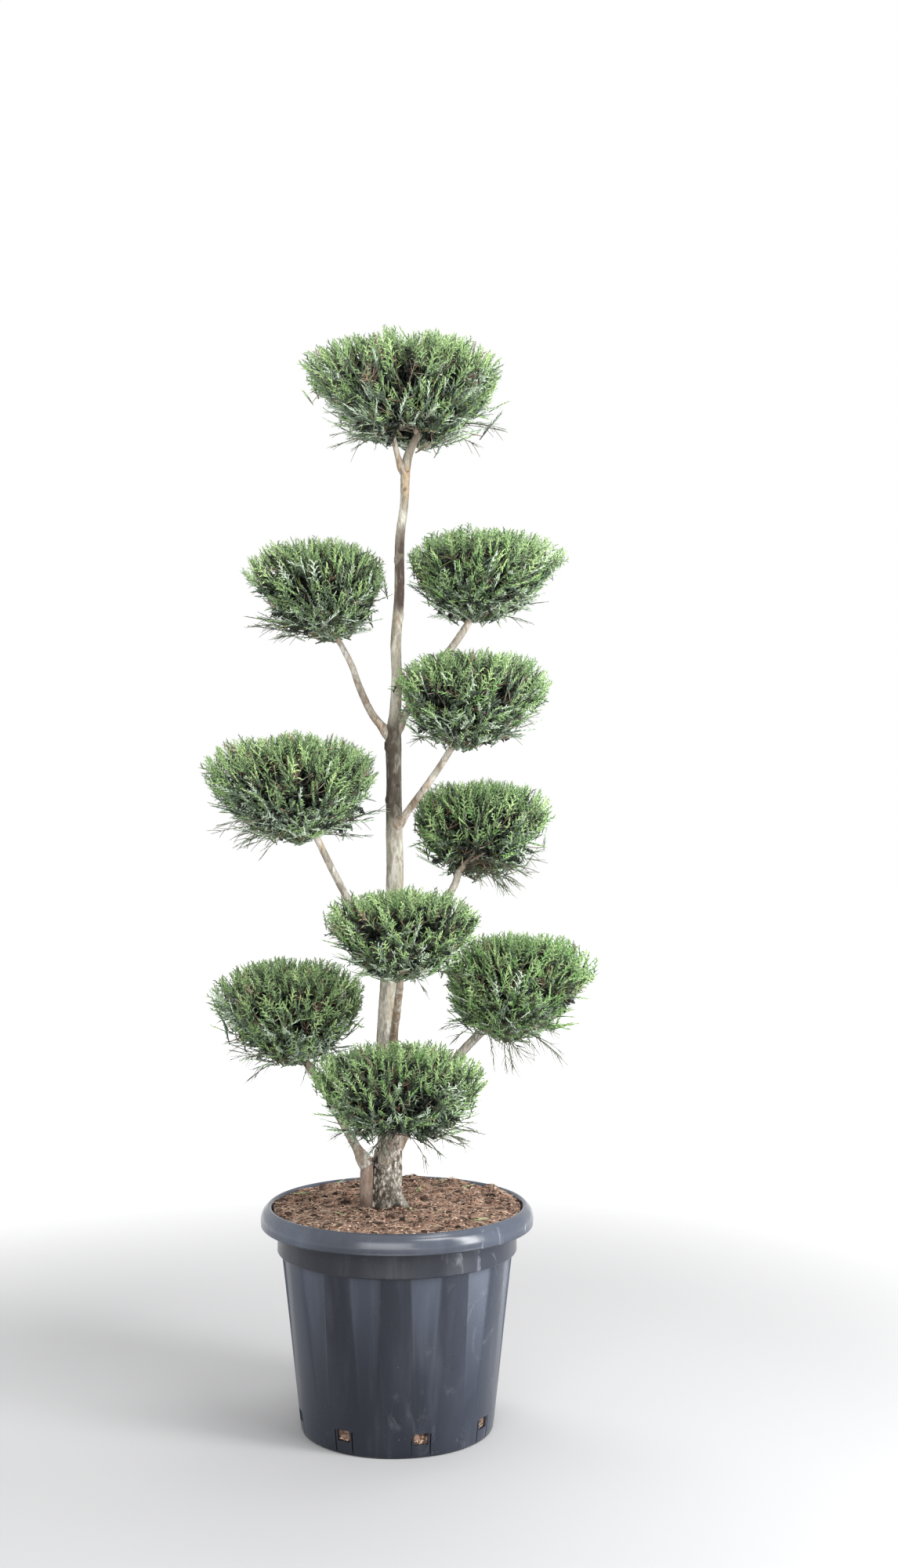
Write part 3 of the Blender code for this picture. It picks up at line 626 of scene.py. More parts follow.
def barkTube(points, radii, sides, rough, swell=None, spots=(), level=None):
    # a limb with the bark's relief, closed at both ends; each point's crevice value paints shade in
    # fissures
    corners, crevices = [], []
    for i, (point, (across, up)) in enumerate(zip(points, ringFrames(points))):
        for side in range(sides):
            turn = math.tau * side / sides
            way = across * math.cos(turn) + up * math.sin(turn)
            girth = radii[i] * (swell(turn, i) if swell else 1.0)
            skin = point + way * girth
            height, crevice = barkRelief(skin, girth, rough(point))
            if spots:
                bulge, dark = knotRelief(skin, spots)
                height += bulge
                crevice = max(crevice, dark)
            corner = skin + way * height
            if level is not None and i == 0:
                corner.z = level
            corners.append(corner)
            crevices.append(crevice)
    faces = ringFaces(0, len(points), sides)
    for ring, order in ((0, -1), (len(points) - 1, 1)):
        faces += fanFaces(ring * sides, sides, len(corners), order)
        corners.append(points[ring].copy())
        crevices.append(0.0)
    return corners, faces, crevices


def barkMesh(name, tubes, finishes, capped=False):
    # several tubes as one mesh
    corners, faces, crevices = [], [], []
    for tubeCorners, tubeFaces, tubeCrevices in tubes:
        first = len(corners)
        corners += tubeCorners
        crevices += tubeCrevices
        faces += [tuple(first + corner for corner in face) for face in tubeFaces]
    mesh = meshOf(name, corners, faces, smooth=True)
    mesh.set_sharp_from_angle(angle=math.radians(70.0))
    pointValues(mesh, "crevice", "FLOAT", crevices)
    for finish in finishes:
        mesh.materials.append(finish)
    if capped:   # the last faces close the upper end, which is a cut
        count = limbDetail["sideStemSides"]
        for face in list(mesh.polygons)[-count:]:
            face.material_index = 1
    return mesh


def roughAt(point):
    # the trunk is flaky at its foot and smooth higher up
    fade = smoothStep(point.z, limbDetail["roughBelow"], limbDetail["smoothAbove"])
    return 1.0 + (limbDetail["smoothest"] - 1.0) * fade


def makeTrunk(detail, finish):
    points, radii = limbLine("trunk", detail["ringSpacing"])
    frames = ringFrames(points)
    spots = []
    for height, turn, size in knots:
        i = min(range(len(points)), key=lambda n: abs(points[n].z - height))
        across, up = frames[i]
        way = across * math.cos(math.radians(turn)) + up * math.sin(math.radians(turn))
        spots.append((points[i] + way * radii[i], size))
    foot = points[0].z
    tubes = [barkTube(points, radii, detail["trunkSides"], roughAt,
                      lambda turn, i: rootFlare(turn, points[i].z - foot), spots,
                      foot - detail["sunk"])]
    for path, girth, sides, rough in footRidges:
        line = [Vector(row) for row in spline(path, footRows)]
        girths = [girth(i / (footRows - 1)) for i in range(footRows)]
        tubes.append(barkTube(line, girths, sides, lambda point: rough))
    mesh = barkMesh("trunk_with_bark", tubes, [finish])
    addPiece("trunk_with_bark", mesh, ["trunk"])


def makeSideStem(detail, finish):
    points, radii = limbLine("side_stem", detail["ringSpacing"])
    tube = barkTube(points, radii, detail["sideStemSides"], lambda point: detail["sideRough"],
                    level=points[0].z - detail["sunk"])
    mesh = barkMesh("side_stem_with_bark", [tube], [finish, cutWood()], capped=True)
    addPiece("side_stem_with_bark", mesh, ["side_stem"])


def makeBough(name, detail, finish):
    points, radii = limbLine(name, detail["ringSpacing"])
    rough = detail["lowBoughRough" if name in lowBoughs else "boughRough"]
    parentGirth = boughs[name][0] * detail["collarStart"]

    def collar(turn, i):
        away = max((points[i] - points[0]).length - parentGirth, 0.0)
        return 1.0 + detail["collar"] * math.exp(-(away / detail["collarLength"]) ** 2)

    tube = barkTube(points, radii, detail["boughSides"], lambda point: rough, collar)
    mesh = barkMesh(name + "_with_bark", [tube], [finish])
    addPiece(name + "_with_bark", mesh, [name])


def makeLimbs():
    makeTrunk(limbDetail, bark("bark_trunk", tone(136, 132, 118), tone(184, 182, 171), 0.40, True))
    makeSideStem(limbDetail, bark("bark_side", tone(100, 84, 76), tone(138, 123, 114), 0.10, False))
    finish = bark("bark_bough", tone(148, 142, 130), tone(186, 183, 175), 0.50, False)
    for name in boughs:
        makeBough(name, limbDetail, finish)


# Pot: thermoformed shell with a rolled rim, a plain band, flutes and drain slots

potShape = {
    "height": 0.3232, "baseRadius": 0.140, "bodyTopRadius": 0.168, "bodyTop": 0.257,
    "bandRadius": 0.1745, "bandTop": 0.296, "rimRadius": 0.1985, "wall": 0.0034, "floor": 0.0032,
    "wallLevels": (0.012, 0.024, 0.036, 0.045, 0.060, 0.080, 0.105, 0.135, 0.165, 0.195, 0.225,
                   0.245, 0.2545),
    "fluteCount": 12, "fluteCentre": math.radians(-74.0), "fluteDepth": 0.0032,
    "fluteStart": 0.045, "fluteEdge": math.radians(8.5), "fluteFloor": math.radians(6.7),
    "edgeGrowth": (0.62, 0.38), "floorGrowth": (0.55, 0.45), "floorHalf": 0.46,
    "slotCount": 8, "slotCentre": math.radians(-75.0), "slotWidth": 0.020, "slotHeight": 0.016,
    "slotBottom": 0.019, "slotReach": 0.012, "tabWidth": 0.0268, "tabGroove": 0.0020,
    "grooveDepth": 0.0014, "waviness": 0.0004, "rimRows": 46,
}


def potColumns():
    # columns round the pot: the flute, the part of its step and how far along that part
    half = potShape["floorHalf"]
    parts = (("floor", (-half, -0.28, 0.0, 0.28, half)), ("edge", (0.2, 0.5, 0.8, 1.0)),
             ("rib", (0.2, 0.4, 0.6, 0.8)), ("lead", (1.0, 0.8, 0.5, 0.2)))
    return [(flute, part, share) for flute in range(potShape["fluteCount"])
            for part, shares in parts for share in shares]


def potRing(radius, height, fluted):
    # the points of one level and how deep in a flute each lies; flutes run out towards the foot
    shape = potShape
    step = math.tau / shape["fluteCount"]
    share = (height - shape["fluteStart"]) / (shape["bodyTop"] - shape["fluteStart"])
    share = min(max(share, 0.0), 1.0)
    least, gain = shape["edgeGrowth"]
    edge = shape["fluteEdge"] * (least + gain * share)
    least, gain = shape["floorGrowth"]
    floor = shape["fluteFloor"] * (least + gain * share)
    ring, flutes = [], []
    for flute, part, along in potColumns():
        centre = shape["fluteCentre"] + flute * step
        slope = 1.0 - smoothStep(along, 0, 1)
        turn, depth = {
            "floor": (centre + along / shape["floorHalf"] * floor, 1.0),
            "edge": (centre + floor + (edge - floor) * along, slope),
            "rib": (centre + edge + (step - 2 * edge) * along, 0.0),
            "lead": (centre + step - floor - (edge - floor) * along, slope)}[part]
        depth = share * depth if fluted else 0.0
        spot = Vector((math.cos(turn), math.sin(turn), 0.0))
        wave = noise.noise(Vector((spot.x * 2.1, spot.y * 2.1, height * 9)))
        reach = radius - shape["fluteDepth"] * depth + shape["waviness"] * wave
        ring.append(Vector((spot.x * reach, spot.y * reach, height)))
        flutes.append(depth)
    return ring, flutes


def potProfile():
    # radius, height and whether the flutes show, from the foot over the rim to the inner floor
    shape = potShape
    base, body, band = shape["baseRadius"], shape["bodyTopRadius"], shape["bandRadius"]
    rim, top, full = shape["rimRadius"], shape["bandTop"], shape["height"]
    slope = (body - base) / shape["bodyTop"]
    foot = [(base - 0.004, 0.0), (base - 0.0012, 0.0008), (base, 0.003)]
    wall = [(base + slope * level, level) for level in shape["wallLevels"]] + [(body, 0.2560)]
    step = [(band - 0.0030, 0.2568), (band - 0.0012, 0.2574), (band - 0.0003, 0.2590),
            (band - 0.0004, 0.2640), (band - 0.0008, 0.2780), (band - 0.0002, 0.2900),
            (band + 0.0004, top - 0.0022), (band + 0.0026, top - 0.0008)]
    lip = [(rim - 0.0080, top - 0.0012), (rim - 0.0036, top - 0.0014), (rim - 0.0014, top - 0.0010),
           (rim - 0.0004, top + 0.0004), (rim - 0.0005, top + 0.0030), (rim, top + 0.0090),
           (rim - 0.0012, top + 0.0150), (rim - 0.0036, top + 0.0200), (rim - 0.0060, top + 0.0226),
           (rim - 0.0078, top + 0.0246), (rim - 0.0102, full - 0.0004), (rim - 0.0128, full),
           (rim - 0.0150, full - 0.0012), (rim - 0.0166, full - 0.0040),
           (rim - 0.0176, full - 0.0080), (rim - 0.0200, top + 0.0030)]
    inside = [(band - 0.0034, top - 0.0060), (band - 0.0039, 0.2620),
              (body - shape["fluteDepth"] - 0.0028, 0.2550), (base - shape["wall"] + 0.012, 0.110),
              (base - shape["wall"] + 0.0035, 0.036), (base - shape["wall"], shape["floor"])]
    parts = (foot, wall, step, spline(lip, shape["rimRows"]), inside)
    return [(radius, level, part is wall) for part in parts for radius, level in part]


def boxCutter(name, turn, width, low, high, near, far):
    # an upright box that cuts the wall at one place round the pot
    corners = []
    for level in (low, high):
        for reach, side in ((near, -1), (far, -1), (far, 1), (near, 1)):
            spot = Vector((reach, side * width / 2, 0.0))
            corners.append((spot.x * math.cos(turn) - spot.y * math.sin(turn),
                            spot.x * math.sin(turn) + spot.y * math.cos(turn), level))
    faces = [(3, 2, 1, 0), (4, 5, 6, 7), (0, 1, 5, 4), (1, 2, 6, 5), (2, 3, 7, 6), (3, 0, 4, 7)]
    cutter = holderOf(meshOf(name, corners, faces))
    cutter.hide_render = True
    return cutter


def makePot():
    shape = potShape
    corners, flutes = [], []
    rows = potProfile()
    for row in rows:
        ring, values = potRing(*row)
        corners += ring
        flutes += values
    count = len(potColumns())
    faces = ringFaces(0, len(rows), count)
    faces.append(tuple(range(count))[::-1])
    faces.append(tuple(range((len(rows) - 1) * count, len(rows) * count)))
    shell = meshOf("pot_shell", corners, faces, smooth=True)
    pointValues(shell, "flute", "FLOAT", flutes)
    pot = holderOf(shell)
    low, base, reach = shape["slotBottom"], shape["baseRadius"], shape["slotReach"]
    high = low + shape["slotHeight"]
    cutters = []
    for slot in range(shape["slotCount"]):
        turn = shape["slotCentre"] + math.tau * slot / shape["slotCount"]
        cutters.append(boxCutter("slot", turn, shape["slotWidth"], low, high, base - reach,
                                 base + reach))
        for side in (-1, 1):
            aside = turn + side * shape["tabWidth"] / 2 / base
            cutters.append(boxCutter("groove", aside, shape["tabGroove"], -0.001, high - 0.001,
                                     base - shape["grooveDepth"], base + reach))
    group = bpy.data.collections.new("pot_cutters")
    for cutter in cutters:
        group.objects.link(cutter)
    cut = pot.modifiers.new("slots", "BOOLEAN")
    cut.operation = "DIFFERENCE"
    cut.operand_type = "COLLECTION"
    cut.collection = group
    mesh = plainMesh(pot)
    dropCollection(group)
    mesh.shade_smooth()
    mesh.set_sharp_from_angle(angle=math.radians(28.0))
    mesh.materials.clear()
    mesh.materials.append(potPlastic())
    addPiece("pot_shell", mesh, ["pot"])


# Soil: a fibrous bed with crumbs, clods, strands, roots in the slots and a few clippings

soilShape = {
    "crown": soilCrown, "edge": 0.3204, "seat": 0.062, "reach": 0.180, "rings": 116, "sides": 232,
    "lump": 0.0036, "lumpSize": 0.024, "crumb": 0.0019, "crumbSize": 0.0065, "grain": 0.0008,
    "grainSize": 0.0024, "heap": 0.0105, "heapSize": 0.034, "dip": 0.0075, "dipSize": 0.014,
    "dipPlace": (-0.029, -0.017), "trunkPlace": (-0.0115, 0.0), "seed": 4, "looseKinds": 6,
    "wall": (   # reach and height, from the bed's edge down the pot's inside
        (0.1777, 0.3050), (0.1770, 0.2985), (potShape["bandRadius"] - 0.0042, 0.2890),
        (0.1620, 0.2630), (0.1600, 0.2550), (0.1478, 0.110), (0.1392, 0.036), (0.1358, 0.0036)),
}


def soilHeight(x, y):
    # mounded towards the trunk, heaped at the rear and sunk round the side stem
    shape = soilShape
    away, reach = math.hypot(x, y), shape["reach"]
    share = max(away - shape["seat"], 0.0) / (reach - shape["seat"])
    level = shape["crown"] + (shape["edge"] - shape["crown"]) * share ** 1.3
    lump = noise.fractal(Vector((x, y, 0.3)) / shape["lumpSize"], 1.0, 2.0, 3)
    crumb = noise.noise(Vector((x, y, 0.7)) / shape["crumbSize"])
    grain = noise.noise(Vector((x, y, 1.1)) / shape["grainSize"])
    fade = 1.0 - 0.6 * smoothStep(away, 0.168, reach)
    rear = smoothStep(y, 0.02, 0.13) * smoothStep(away, reach, 0.1700) * smoothStep(x, -0.07, 0.01)
    level += shape["heap"] * rear * (0.5 + noise.noise(Vector((x, y, 2.0)) / shape["heapSize"]))
    dipX, dipY = shape["dipPlace"]
    level -= shape["dip"] * math.exp(-((x - dipX) ** 2 + (y - dipY) ** 2) / shape["dipSize"] ** 2)
    return level + (shape["lump"] * lump + shape["crumb"] * abs(crumb) * 1.6
                    + shape["grain"] * grain) * fade - 0.0006


def soilBed():
    shape = soilShape
    sides, rings, wall = shape["sides"], shape["rings"], shape["wall"]
    corners = [Vector((0.0, 0.0, soilHeight(0.0, 0.0)))]
    for ring in range(1, rings + 1 + len(wall)):
        inWall = ring > rings
        reach, level = wall[ring - rings - 1] if inWall else (shape["reach"] * ring / rings, None)
        stagger = 0.5 * (min(ring, rings) % 2)
        for side in range(sides):
            turn = math.tau * (side + stagger) / sides
            x, y = reach * math.cos(turn), reach * math.sin(turn)
            corners.append(Vector((x, y, level if inWall else soilHeight(x, y))))
    faces = [(0, 1 + side, 1 + (side + 1) % sides) for side in range(sides)]
    faces += ringFaces(1, rings + len(wall), sides, flip=True)
    last = len(corners) - sides
    faces.append(tuple(range(last, last + sides))[::-1])
    return meshOf("soil_bed", corners, faces, smooth=True)


def tubeInto(corners, faces, points, radii, sides):
    # adds a tapering rod, pointed at its far end and capped at its near one
    first = len(corners)
    for point, girth, (across, up) in zip(points[:-1], radii, ringFrames(points)):
        for side in range(sides):
            turn = math.tau * side / sides
            corners.append(point + (across * math.cos(turn) + up * math.sin(turn)) * girth)
    faces += ringFaces(first, len(points) - 1, sides)
    faces += fanFaces(len(corners) - sides, sides, len(corners))
    faces.append(tuple(range(first, first + sides))[::-1])
    corners.append(points[-1])


def crumbShape(dice):
    # a small lump, about one unit in radius
    work = bmesh.new()
    bmesh.ops.create_icosphere(work, subdivisions=1, radius=1.0)
    for corner in work.verts:
        corner.co *= dice.uniform(0.62, 1.18)
        corner.co.z *= 0.75
    mesh = bpy.data.meshes.new("crumb")
    work.to_mesh(mesh)
    work.free()
    return mesh


def strandShape(dice):
    # a curled fibre, one unit long, lying along X
    corners, faces = [], []
    bendSide, bendUp = dice.uniform(-0.5, 0.5), dice.uniform(0.02, 0.30)
    points = []
    for i in range(6):
        t = i / 5
        wave = math.sin(t * math.pi)
        points.append(Vector((t - 0.5, bendSide * wave + dice.uniform(-0.05, 0.05),
                              bendUp * wave + dice.uniform(-0.04, 0.04))))
    tubeInto(corners, faces, points, [0.024, 0.028, 0.026, 0.020, 0.014], 3)
    return meshOf("strand", corners, faces)


def scatterTree(name, palette, patchy, hollow):
    # instances spread over a surface in patches: turned, scaled and painted at random
    growth = Growth(name, {
        "Shapes": ("Collection", None), "Density": ("Float", 1000.0), "Smallest": ("Float", 0.001),
        "Largest": ("Float", 0.003), "Seed": ("Int", 1)})
    cloud = growth.node("ShaderNodeTexNoise", None, {"Scale": 62.0, "Detail": 2.0}, "Fac")
    low, high = (0.58, 0.40) if hollow else (0.36, 0.50)
    share = growth.node("ShaderNodeMapRange", None, {
        0: cloud, 1: low, 2: high, 3: 1.0 - patchy, 4: 1.0})
    density = growth.node("ShaderNodeMath", {"operation": "MULTIPLY"},
                          {0: growth.entry["Density"], 1: share})
    spread = growth.node("GeometryNodeDistributePointsOnFaces", {"distribute_method": "RANDOM"},
                         {"Mesh": growth.entry["Geometry"], "Density": density,
                          "Seed": growth.entry["Seed"]})
    spin = growth.node("FunctionNodeAxisAngleToRotation", None,
                       {"Axis": (0, 0, 1), "Angle": growth.random(0.0, math.tau, 3)})
    facing = growth.node("FunctionNodeRotateRotation", {"rotation_space": "LOCAL"},
                         {"Rotation": spread.node.outputs["Rotation"], "Rotate By": spin})
    size = growth.random(growth.entry["Smallest"], growth.entry["Largest"], 5)
    chosen = growth.floored(growth.random(0.0, soilShape["looseKinds"] - 0.001, 7))
    shade = growth.floored(growth.random(0.0, len(palette) - 0.001, 9))
    stored = growth.node("GeometryNodeStoreNamedAttribute", {"data_type": "INT", "domain": "POINT"},
                         {"Geometry": spread, "Name": "paint", "Value": shade})
    placed = growth.node("GeometryNodeInstanceOnPoints", None, {
        "Points": stored, "Instance": growth.kit("Shapes"), "Pick Instance": True,
        "Instance Index": chosen, "Rotation": facing, "Scale": size})
    whole = growth.realized(placed)
    return growth.close(growth.paint(whole, palette, growth.attribute("paint", "INT")))


def topOf(mesh, name):
    # a copy of the bed's upper surface, clear of the stems
    work = bmesh.new()
    work.from_mesh(mesh)
    clear = ((Vector(soilShape["trunkPlace"]), 0.017), (Vector(soilShape["dipPlace"]), 0.0085))
    spare = []
    for face in work.faces:
        middle = face.calc_center_median()
        low = face.normal.z < 0.15 or middle.z < 0.3
        if low or any((middle.xy - place).length < size for place, size in clear):
            spare.append(face)
    bmesh.ops.delete(work, geom=spare, context="FACES")
    top = bpy.data.meshes.new(name)
    work.to_mesh(top)
    work.free()
    return top


earthTones = {
    "dark": tone(58, 45, 39), "brown": tone(122, 98, 86), "russet": tone(148, 112, 92),
    "tan": tone(182, 156, 138), "black": tone(36, 29, 26),
}
strandTones = {
    "brown": tone(144, 116, 100), "russet": tone(166, 126, 102), "tan": tone(192, 166, 146),
    "straw": tone(206, 186, 162), "dark": tone(66, 50, 42),
}
scatters = {   # what lies on the soil: shape, how patchy, whether only in the hollows, sizes
    "crumb": (crumbShape, 0.5, False,
              {"Density": 22000.0, "Smallest": 0.0006, "Largest": 0.0026, "Seed": 11}),
    "clod": (crumbShape, 1.0, True,
             {"Density": 1100.0, "Smallest": 0.0022, "Largest": 0.0068, "Seed": 13}),
    "strand": (strandShape, 0.80, False,
               {"Density": 36000.0, "Smallest": 0.004, "Largest": 0.014, "Seed": 12}),
}


def makeSoil(greens):
    dice = random.Random(soilShape["seed"])
    mesh = soilBed()
    top = topOf(mesh, "soil_top")
    mesh.materials.append(soilPeat())
    addPiece("soil_bed", mesh, ["soil"])
    earth = [plainFinish("crumb_" + name, colour, 0.95, 0.1)
             for name, colour in earthTones.items()]
    threads = [plainFinish("strand_" + name, colour, 0.85, 0.2)
               for name, colour in strandTones.items()]
    palettes = {"crumb": earth, "clod": [earth[0], earth[-1]], "strand": threads}
    for name, (shape, patchy, hollow, sizes) in scatters.items():
        shapes = collectionOf(name, [shape(dice) for _ in range(soilShape["looseKinds"])])
        tree = scatterTree(name + "_scatter", palettes[name], patchy, hollow)
        mesh = bake(top.copy(), tree, {"Shapes": shapes, **sizes}, f"soil_{name}s")
        addPiece(f"soil_{name}s", mesh)
        dropCollection(shapes)
    makeRoots(threads, dice)
    makeClippings(greens, dice)


rootShape = {
    "perSlot": 26, "depth": (0.1372, 0.1398), "aside": 0.42, "length": (0.003, 0.0075),
    "bow": 0.0007, "sway": 0.0006, "halfSlot": 0.0094, "clear": 0.0005,
    "girths": (0.00034, 0.00040, 0.00036, 0.00026),
}


def makeRoots(threads, dice):
    # coir and roots that show in the drain slots
    pot, shape = potShape, rootShape
    aside, bow, sway, edge = (shape[key] for key in ("aside", "bow", "sway", "halfSlot"))
    corners, faces, paints = [], [], []
    for slot in range(pot["slotCount"]):
        turn = pot["slotCentre"] + math.tau * slot / pot["slotCount"]
        out = Vector((math.cos(turn), math.sin(turn), 0.0))
        side = Vector((-out.y, out.x, 0.0))
        for _ in range(shape["perSlot"]):
            spot = out * dice.uniform(*shape["depth"])
            spot += side * dice.uniform(-aside, aside) * pot["slotWidth"]
            spot.z = pot["slotBottom"] + pot["slotHeight"] * (0.06 + 0.62 * dice.random() ** 1.4)
            lie = dice.uniform(0.0, math.tau)
            way = side * math.cos(lie) + Vector((0.0, 0.0, 1.0)) * math.sin(lie) * 0.7
            length = dice.uniform(*shape["length"])
            points = []
            for i in range(len(shape["girths"]) + 1):
                point = spot + way * length * (i / 4 - 0.5) + out * dice.uniform(-bow, bow)
                point += side.cross(way) * dice.uniform(-sway, sway)
                offset = point.dot(side)
                point -= side * (offset - min(max(offset, -edge), edge))
                point.z = max(point.z, pot["slotBottom"] + shape["clear"])
                points.append(point)
            before = len(faces)
            tubeInto(corners, faces, points, shape["girths"], 3)
            paints += [dice.randrange(len(threads))] * (len(faces) - before)
    mesh = meshOf("soil_roots", corners, faces)
    for finish in threads:
        mesh.materials.append(finish)
    mesh.polygons.foreach_set("material_index", paints)
    addPiece("soil_roots", mesh)


# Foliage: the source's rule, carried to finer twigs and to cord-like sprays

widest = 0.66
heartShare = 0.36
lowestAim = math.radians(122.0)
outlineWave = 0.035
# one dictionary for each pad:
# levels, half: bottom and top, half widths; centre, foot: where its axis is at its widest and below
# floor: the height share below which it has no more than bare twigs
# fresh: how much greener it is than the rest; cleft: place, half width and depth of a dip on top
# belly: how wide its dense part is low down, on the left and on the right
# bare: where no spray hides its stem from the front: left, right, top
# hollows: where its shell is open over its dark inside: direction, height share, radius
# fringes: bare twigs: direction round it, spread, count, droop, reach beyond it
padDefaults = {"floor": 0.08, "fresh": 0.0, "belly": (1.0, 1.0), "bare": None, "cleft": None}
pads = {
    "foliage_top": {
        "carrier": "trunk", "seed": 11, "levels": (1.398, 1.591), "half": (0.153, 0.14),
        "centre": (0.007, 0.0), "foot": (0.028, 0.0), "floor": 0.12, "bare": (-0.012, 0.044, 1.45),
        "cleft": (0.0085, 0.011, 0.02),
        "hollows": ((273.0, 0.68, 0.027), (238.0, 0.6, 0.014), (276.0, 0.08, 0.034)),
        "fringes": ((190.0, 24.0, 7, 0.01, 0.2), (345.0, 24.0, 5, 0.02, 0.12)),
    },
    "foliage_upper_left": {
        "carrier": "bough_upper_left", "seed": 12, "levels": (1.124, 1.298), "half": (0.115, 0.108),
        "centre": (-0.126, 0.05), "foot": (-0.09, 0.05), "floor": 0.13, "belly": (0.84, 1.0),
        "bare": (-0.108, -0.074, 1.146),
        "hollows": ((262.0, 0.66, 0.013),),
        "fringes": ((190.0, 26.0, 8, 0.0, 0.3), (250.0, 40.0, 3, 0.01, 0.08)),
    },
    "foliage_upper_right": {
        "carrier": "bough_upper_right", "seed": 13, "levels": (1.161, 1.316),
        "half": (0.124, 0.115), "centre": (0.126, 0.062), "foot": (0.11, 0.062), "fresh": 0.25,
        "hollows": ((238.0, 0.66, 0.018), (285.0, 0.5, 0.012)),
        "fringes": ((300.0, 60.0, 4, 0.01, 0.08),),
    },
    "foliage_mid_right": {
        "carrier": "bough_mid_right", "seed": 14, "levels": (0.966, 1.126), "half": (0.121, 0.11),
        "centre": (0.1095, -0.072), "foot": (0.086, -0.07), "floor": 0.11, "fresh": 0.15,
        "hollows": ((236.0, 0.62, 0.024), (300.0, 0.7, 0.016)),
        "fringes": ((340.0, 30.0, 5, 0.0, 0.16), (235.0, 40.0, 4, 0.01, 0.1)),
    },
    "foliage_mid_left": {
        "carrier": "bough_mid_left", "seed": 15, "levels": (0.825, 1.007), "half": (0.137, 0.121),
        "centre": (-0.151, -0.05), "foot": (-0.128, -0.05), "floor": 0.14, "belly": (1.06, 1.0),
        "bare": (-0.136, -0.1, 0.862),
        "hollows": ((283.0, 0.68, 0.022), (225.0, 0.6, 0.013), (280.0, 0.05, 0.026)),
        "fringes": ((212.0, 32.0, 12, 0.03, 0.12), (350.0, 24.0, 4, 0.0, 0.12)),
    },
    "foliage_right": {
        "carrier": "bough_right", "seed": 16, "levels": (0.769, 0.943), "half": (0.114, 0.107),
        "centre": (0.1215, 0.073), "foot": (0.108, 0.071), "floor": 0.12, "fresh": 0.25,
        "bare": (0.074, 0.142, 0.832),
        "hollows": ((240.0, 0.58, 0.014), (285.0, 0.48, 0.013), (262.0, 0.08, 0.034)),
        "fringes": ((310.0, 34.0, 12, 0.05, 0.12), (350.0, 20.0, 4, 0.01, 0.2)),
    },
    "foliage_centre": {
        "carrier": "bough_centre", "seed": 17, "levels": (0.649, 0.791), "half": (0.116, 0.107),
        "centre": (0.0117, -0.13), "foot": (0.008, -0.11), "fresh": 0.12,
        "hollows": ((240.0, 0.7, 0.018), (300.0, 0.7, 0.014)),
        "fringes": ((300.0, 50.0, 5, 0.03, 0.08), (210.0, 30.0, 3, 0.0, 0.12)),
    },
    "foliage_lower_right": {
        "carrier": "bough_lower_right", "seed": 18, "levels": (0.515, 0.716),
        "half": (0.122, 0.114), "centre": (0.177, 0.038), "foot": (0.162, 0.036), "floor": 0.2,
        "fresh": 0.5, "belly": (1.14, 0.9), "bare": (0.092, 0.146, 0.566),
        "hollows": ((262.0, 0.44, 0.013), (240.0, 0.08, 0.036)),
        "fringes": ((290.0, 50.0, 18, 0.05, 0.06), (215.0, 20.0, 5, 0.03, 0.12)),
    },
    "foliage_lower_left": {
        "carrier": "bough_lower_left", "seed": 19, "levels": (0.491, 0.676), "half": (0.126, 0.114),
        "centre": (-0.162, 0.046), "foot": (-0.144, 0.04), "floor": 0.15, "belly": (0.96, 1.0),
        "bare": (-0.15, -0.116, 0.52),
        "hollows": ((300.0, 0.52, 0.018), (310.0, 0.06, 0.026)),
        "fringes": ((240.0, 60.0, 7, 0.03, 0.06), (190.0, 20.0, 3, 0.0, 0.12)),
    },
    "foliage_bottom": {
        "carrier": "bough_bottom", "seed": 20, "levels": (0.408, 0.575), "half": (0.132, 0.108),
        "centre": (0.0084, -0.131), "foot": (0.002, -0.094), "floor": 0.12, "fresh": 0.12,
        "bare": (-0.028, 0.034, 0.452),
        "hollows": ((290.0, 0.62, 0.022), (240.0, 0.68, 0.014), (262.0, 0.06, 0.04)),
        "fringes": ((330.0, 30.0, 14, 0.03, 0.08), (225.0, 40.0, 8, 0.02, 0.08)),
    },
}
upwards = Vector((0.0, 0.0, 1.0))
growthRule = {
    "stemGirth": 0.60, "clearance": 0.0012, "primaries": 14, "primaryGirth": 0.0024,
    "primaryTip": 0.0012, "primaryReach": (0.46, 0.60), "shoots": 80, "shootGirth": 0.0010,
    "shootTip": 0.0006, "shootReach": (0.74, 0.88), "twigGirth": 0.00062,
    "outerDensity": 7800.0, "outerLength": (0.030, 0.050), "lowThinning": 0.50, "feathers": 0.13,
    "featherReach": (0.92, 1.10), "midSprays": 220, "midLength": (0.026, 0.042), "midLeast": 0.014,
    "innerSprays": 340, "innerLength": (0.028, 0.046), "innerLeast": 0.012,
    "innerPlace": (0.10, 0.62), "fringeLevel": (0.14, 0.44), "fringeGirths": (0.0009, 0.0004),
    "whipLength": (0.018, 0.032), "forks": (3, 6), "forkLength": (0.010, 0.024),
    "forkGirths": (0.0006, 0.0003),
}
twigTones = {   # colour, roughness, gloss
    "grey": (tone(138, 126, 112), 0.85, 0.2), "red": (tone(104, 84, 70), 0.8, 0.2),
    "bare": (tone(88, 88, 74), 0.9, 0.15), "green": (tone(96, 110, 62), 0.8, 0.2),
}
greyTwig, redTwig, bareTwig, greenTwig = range(len(twigTones))
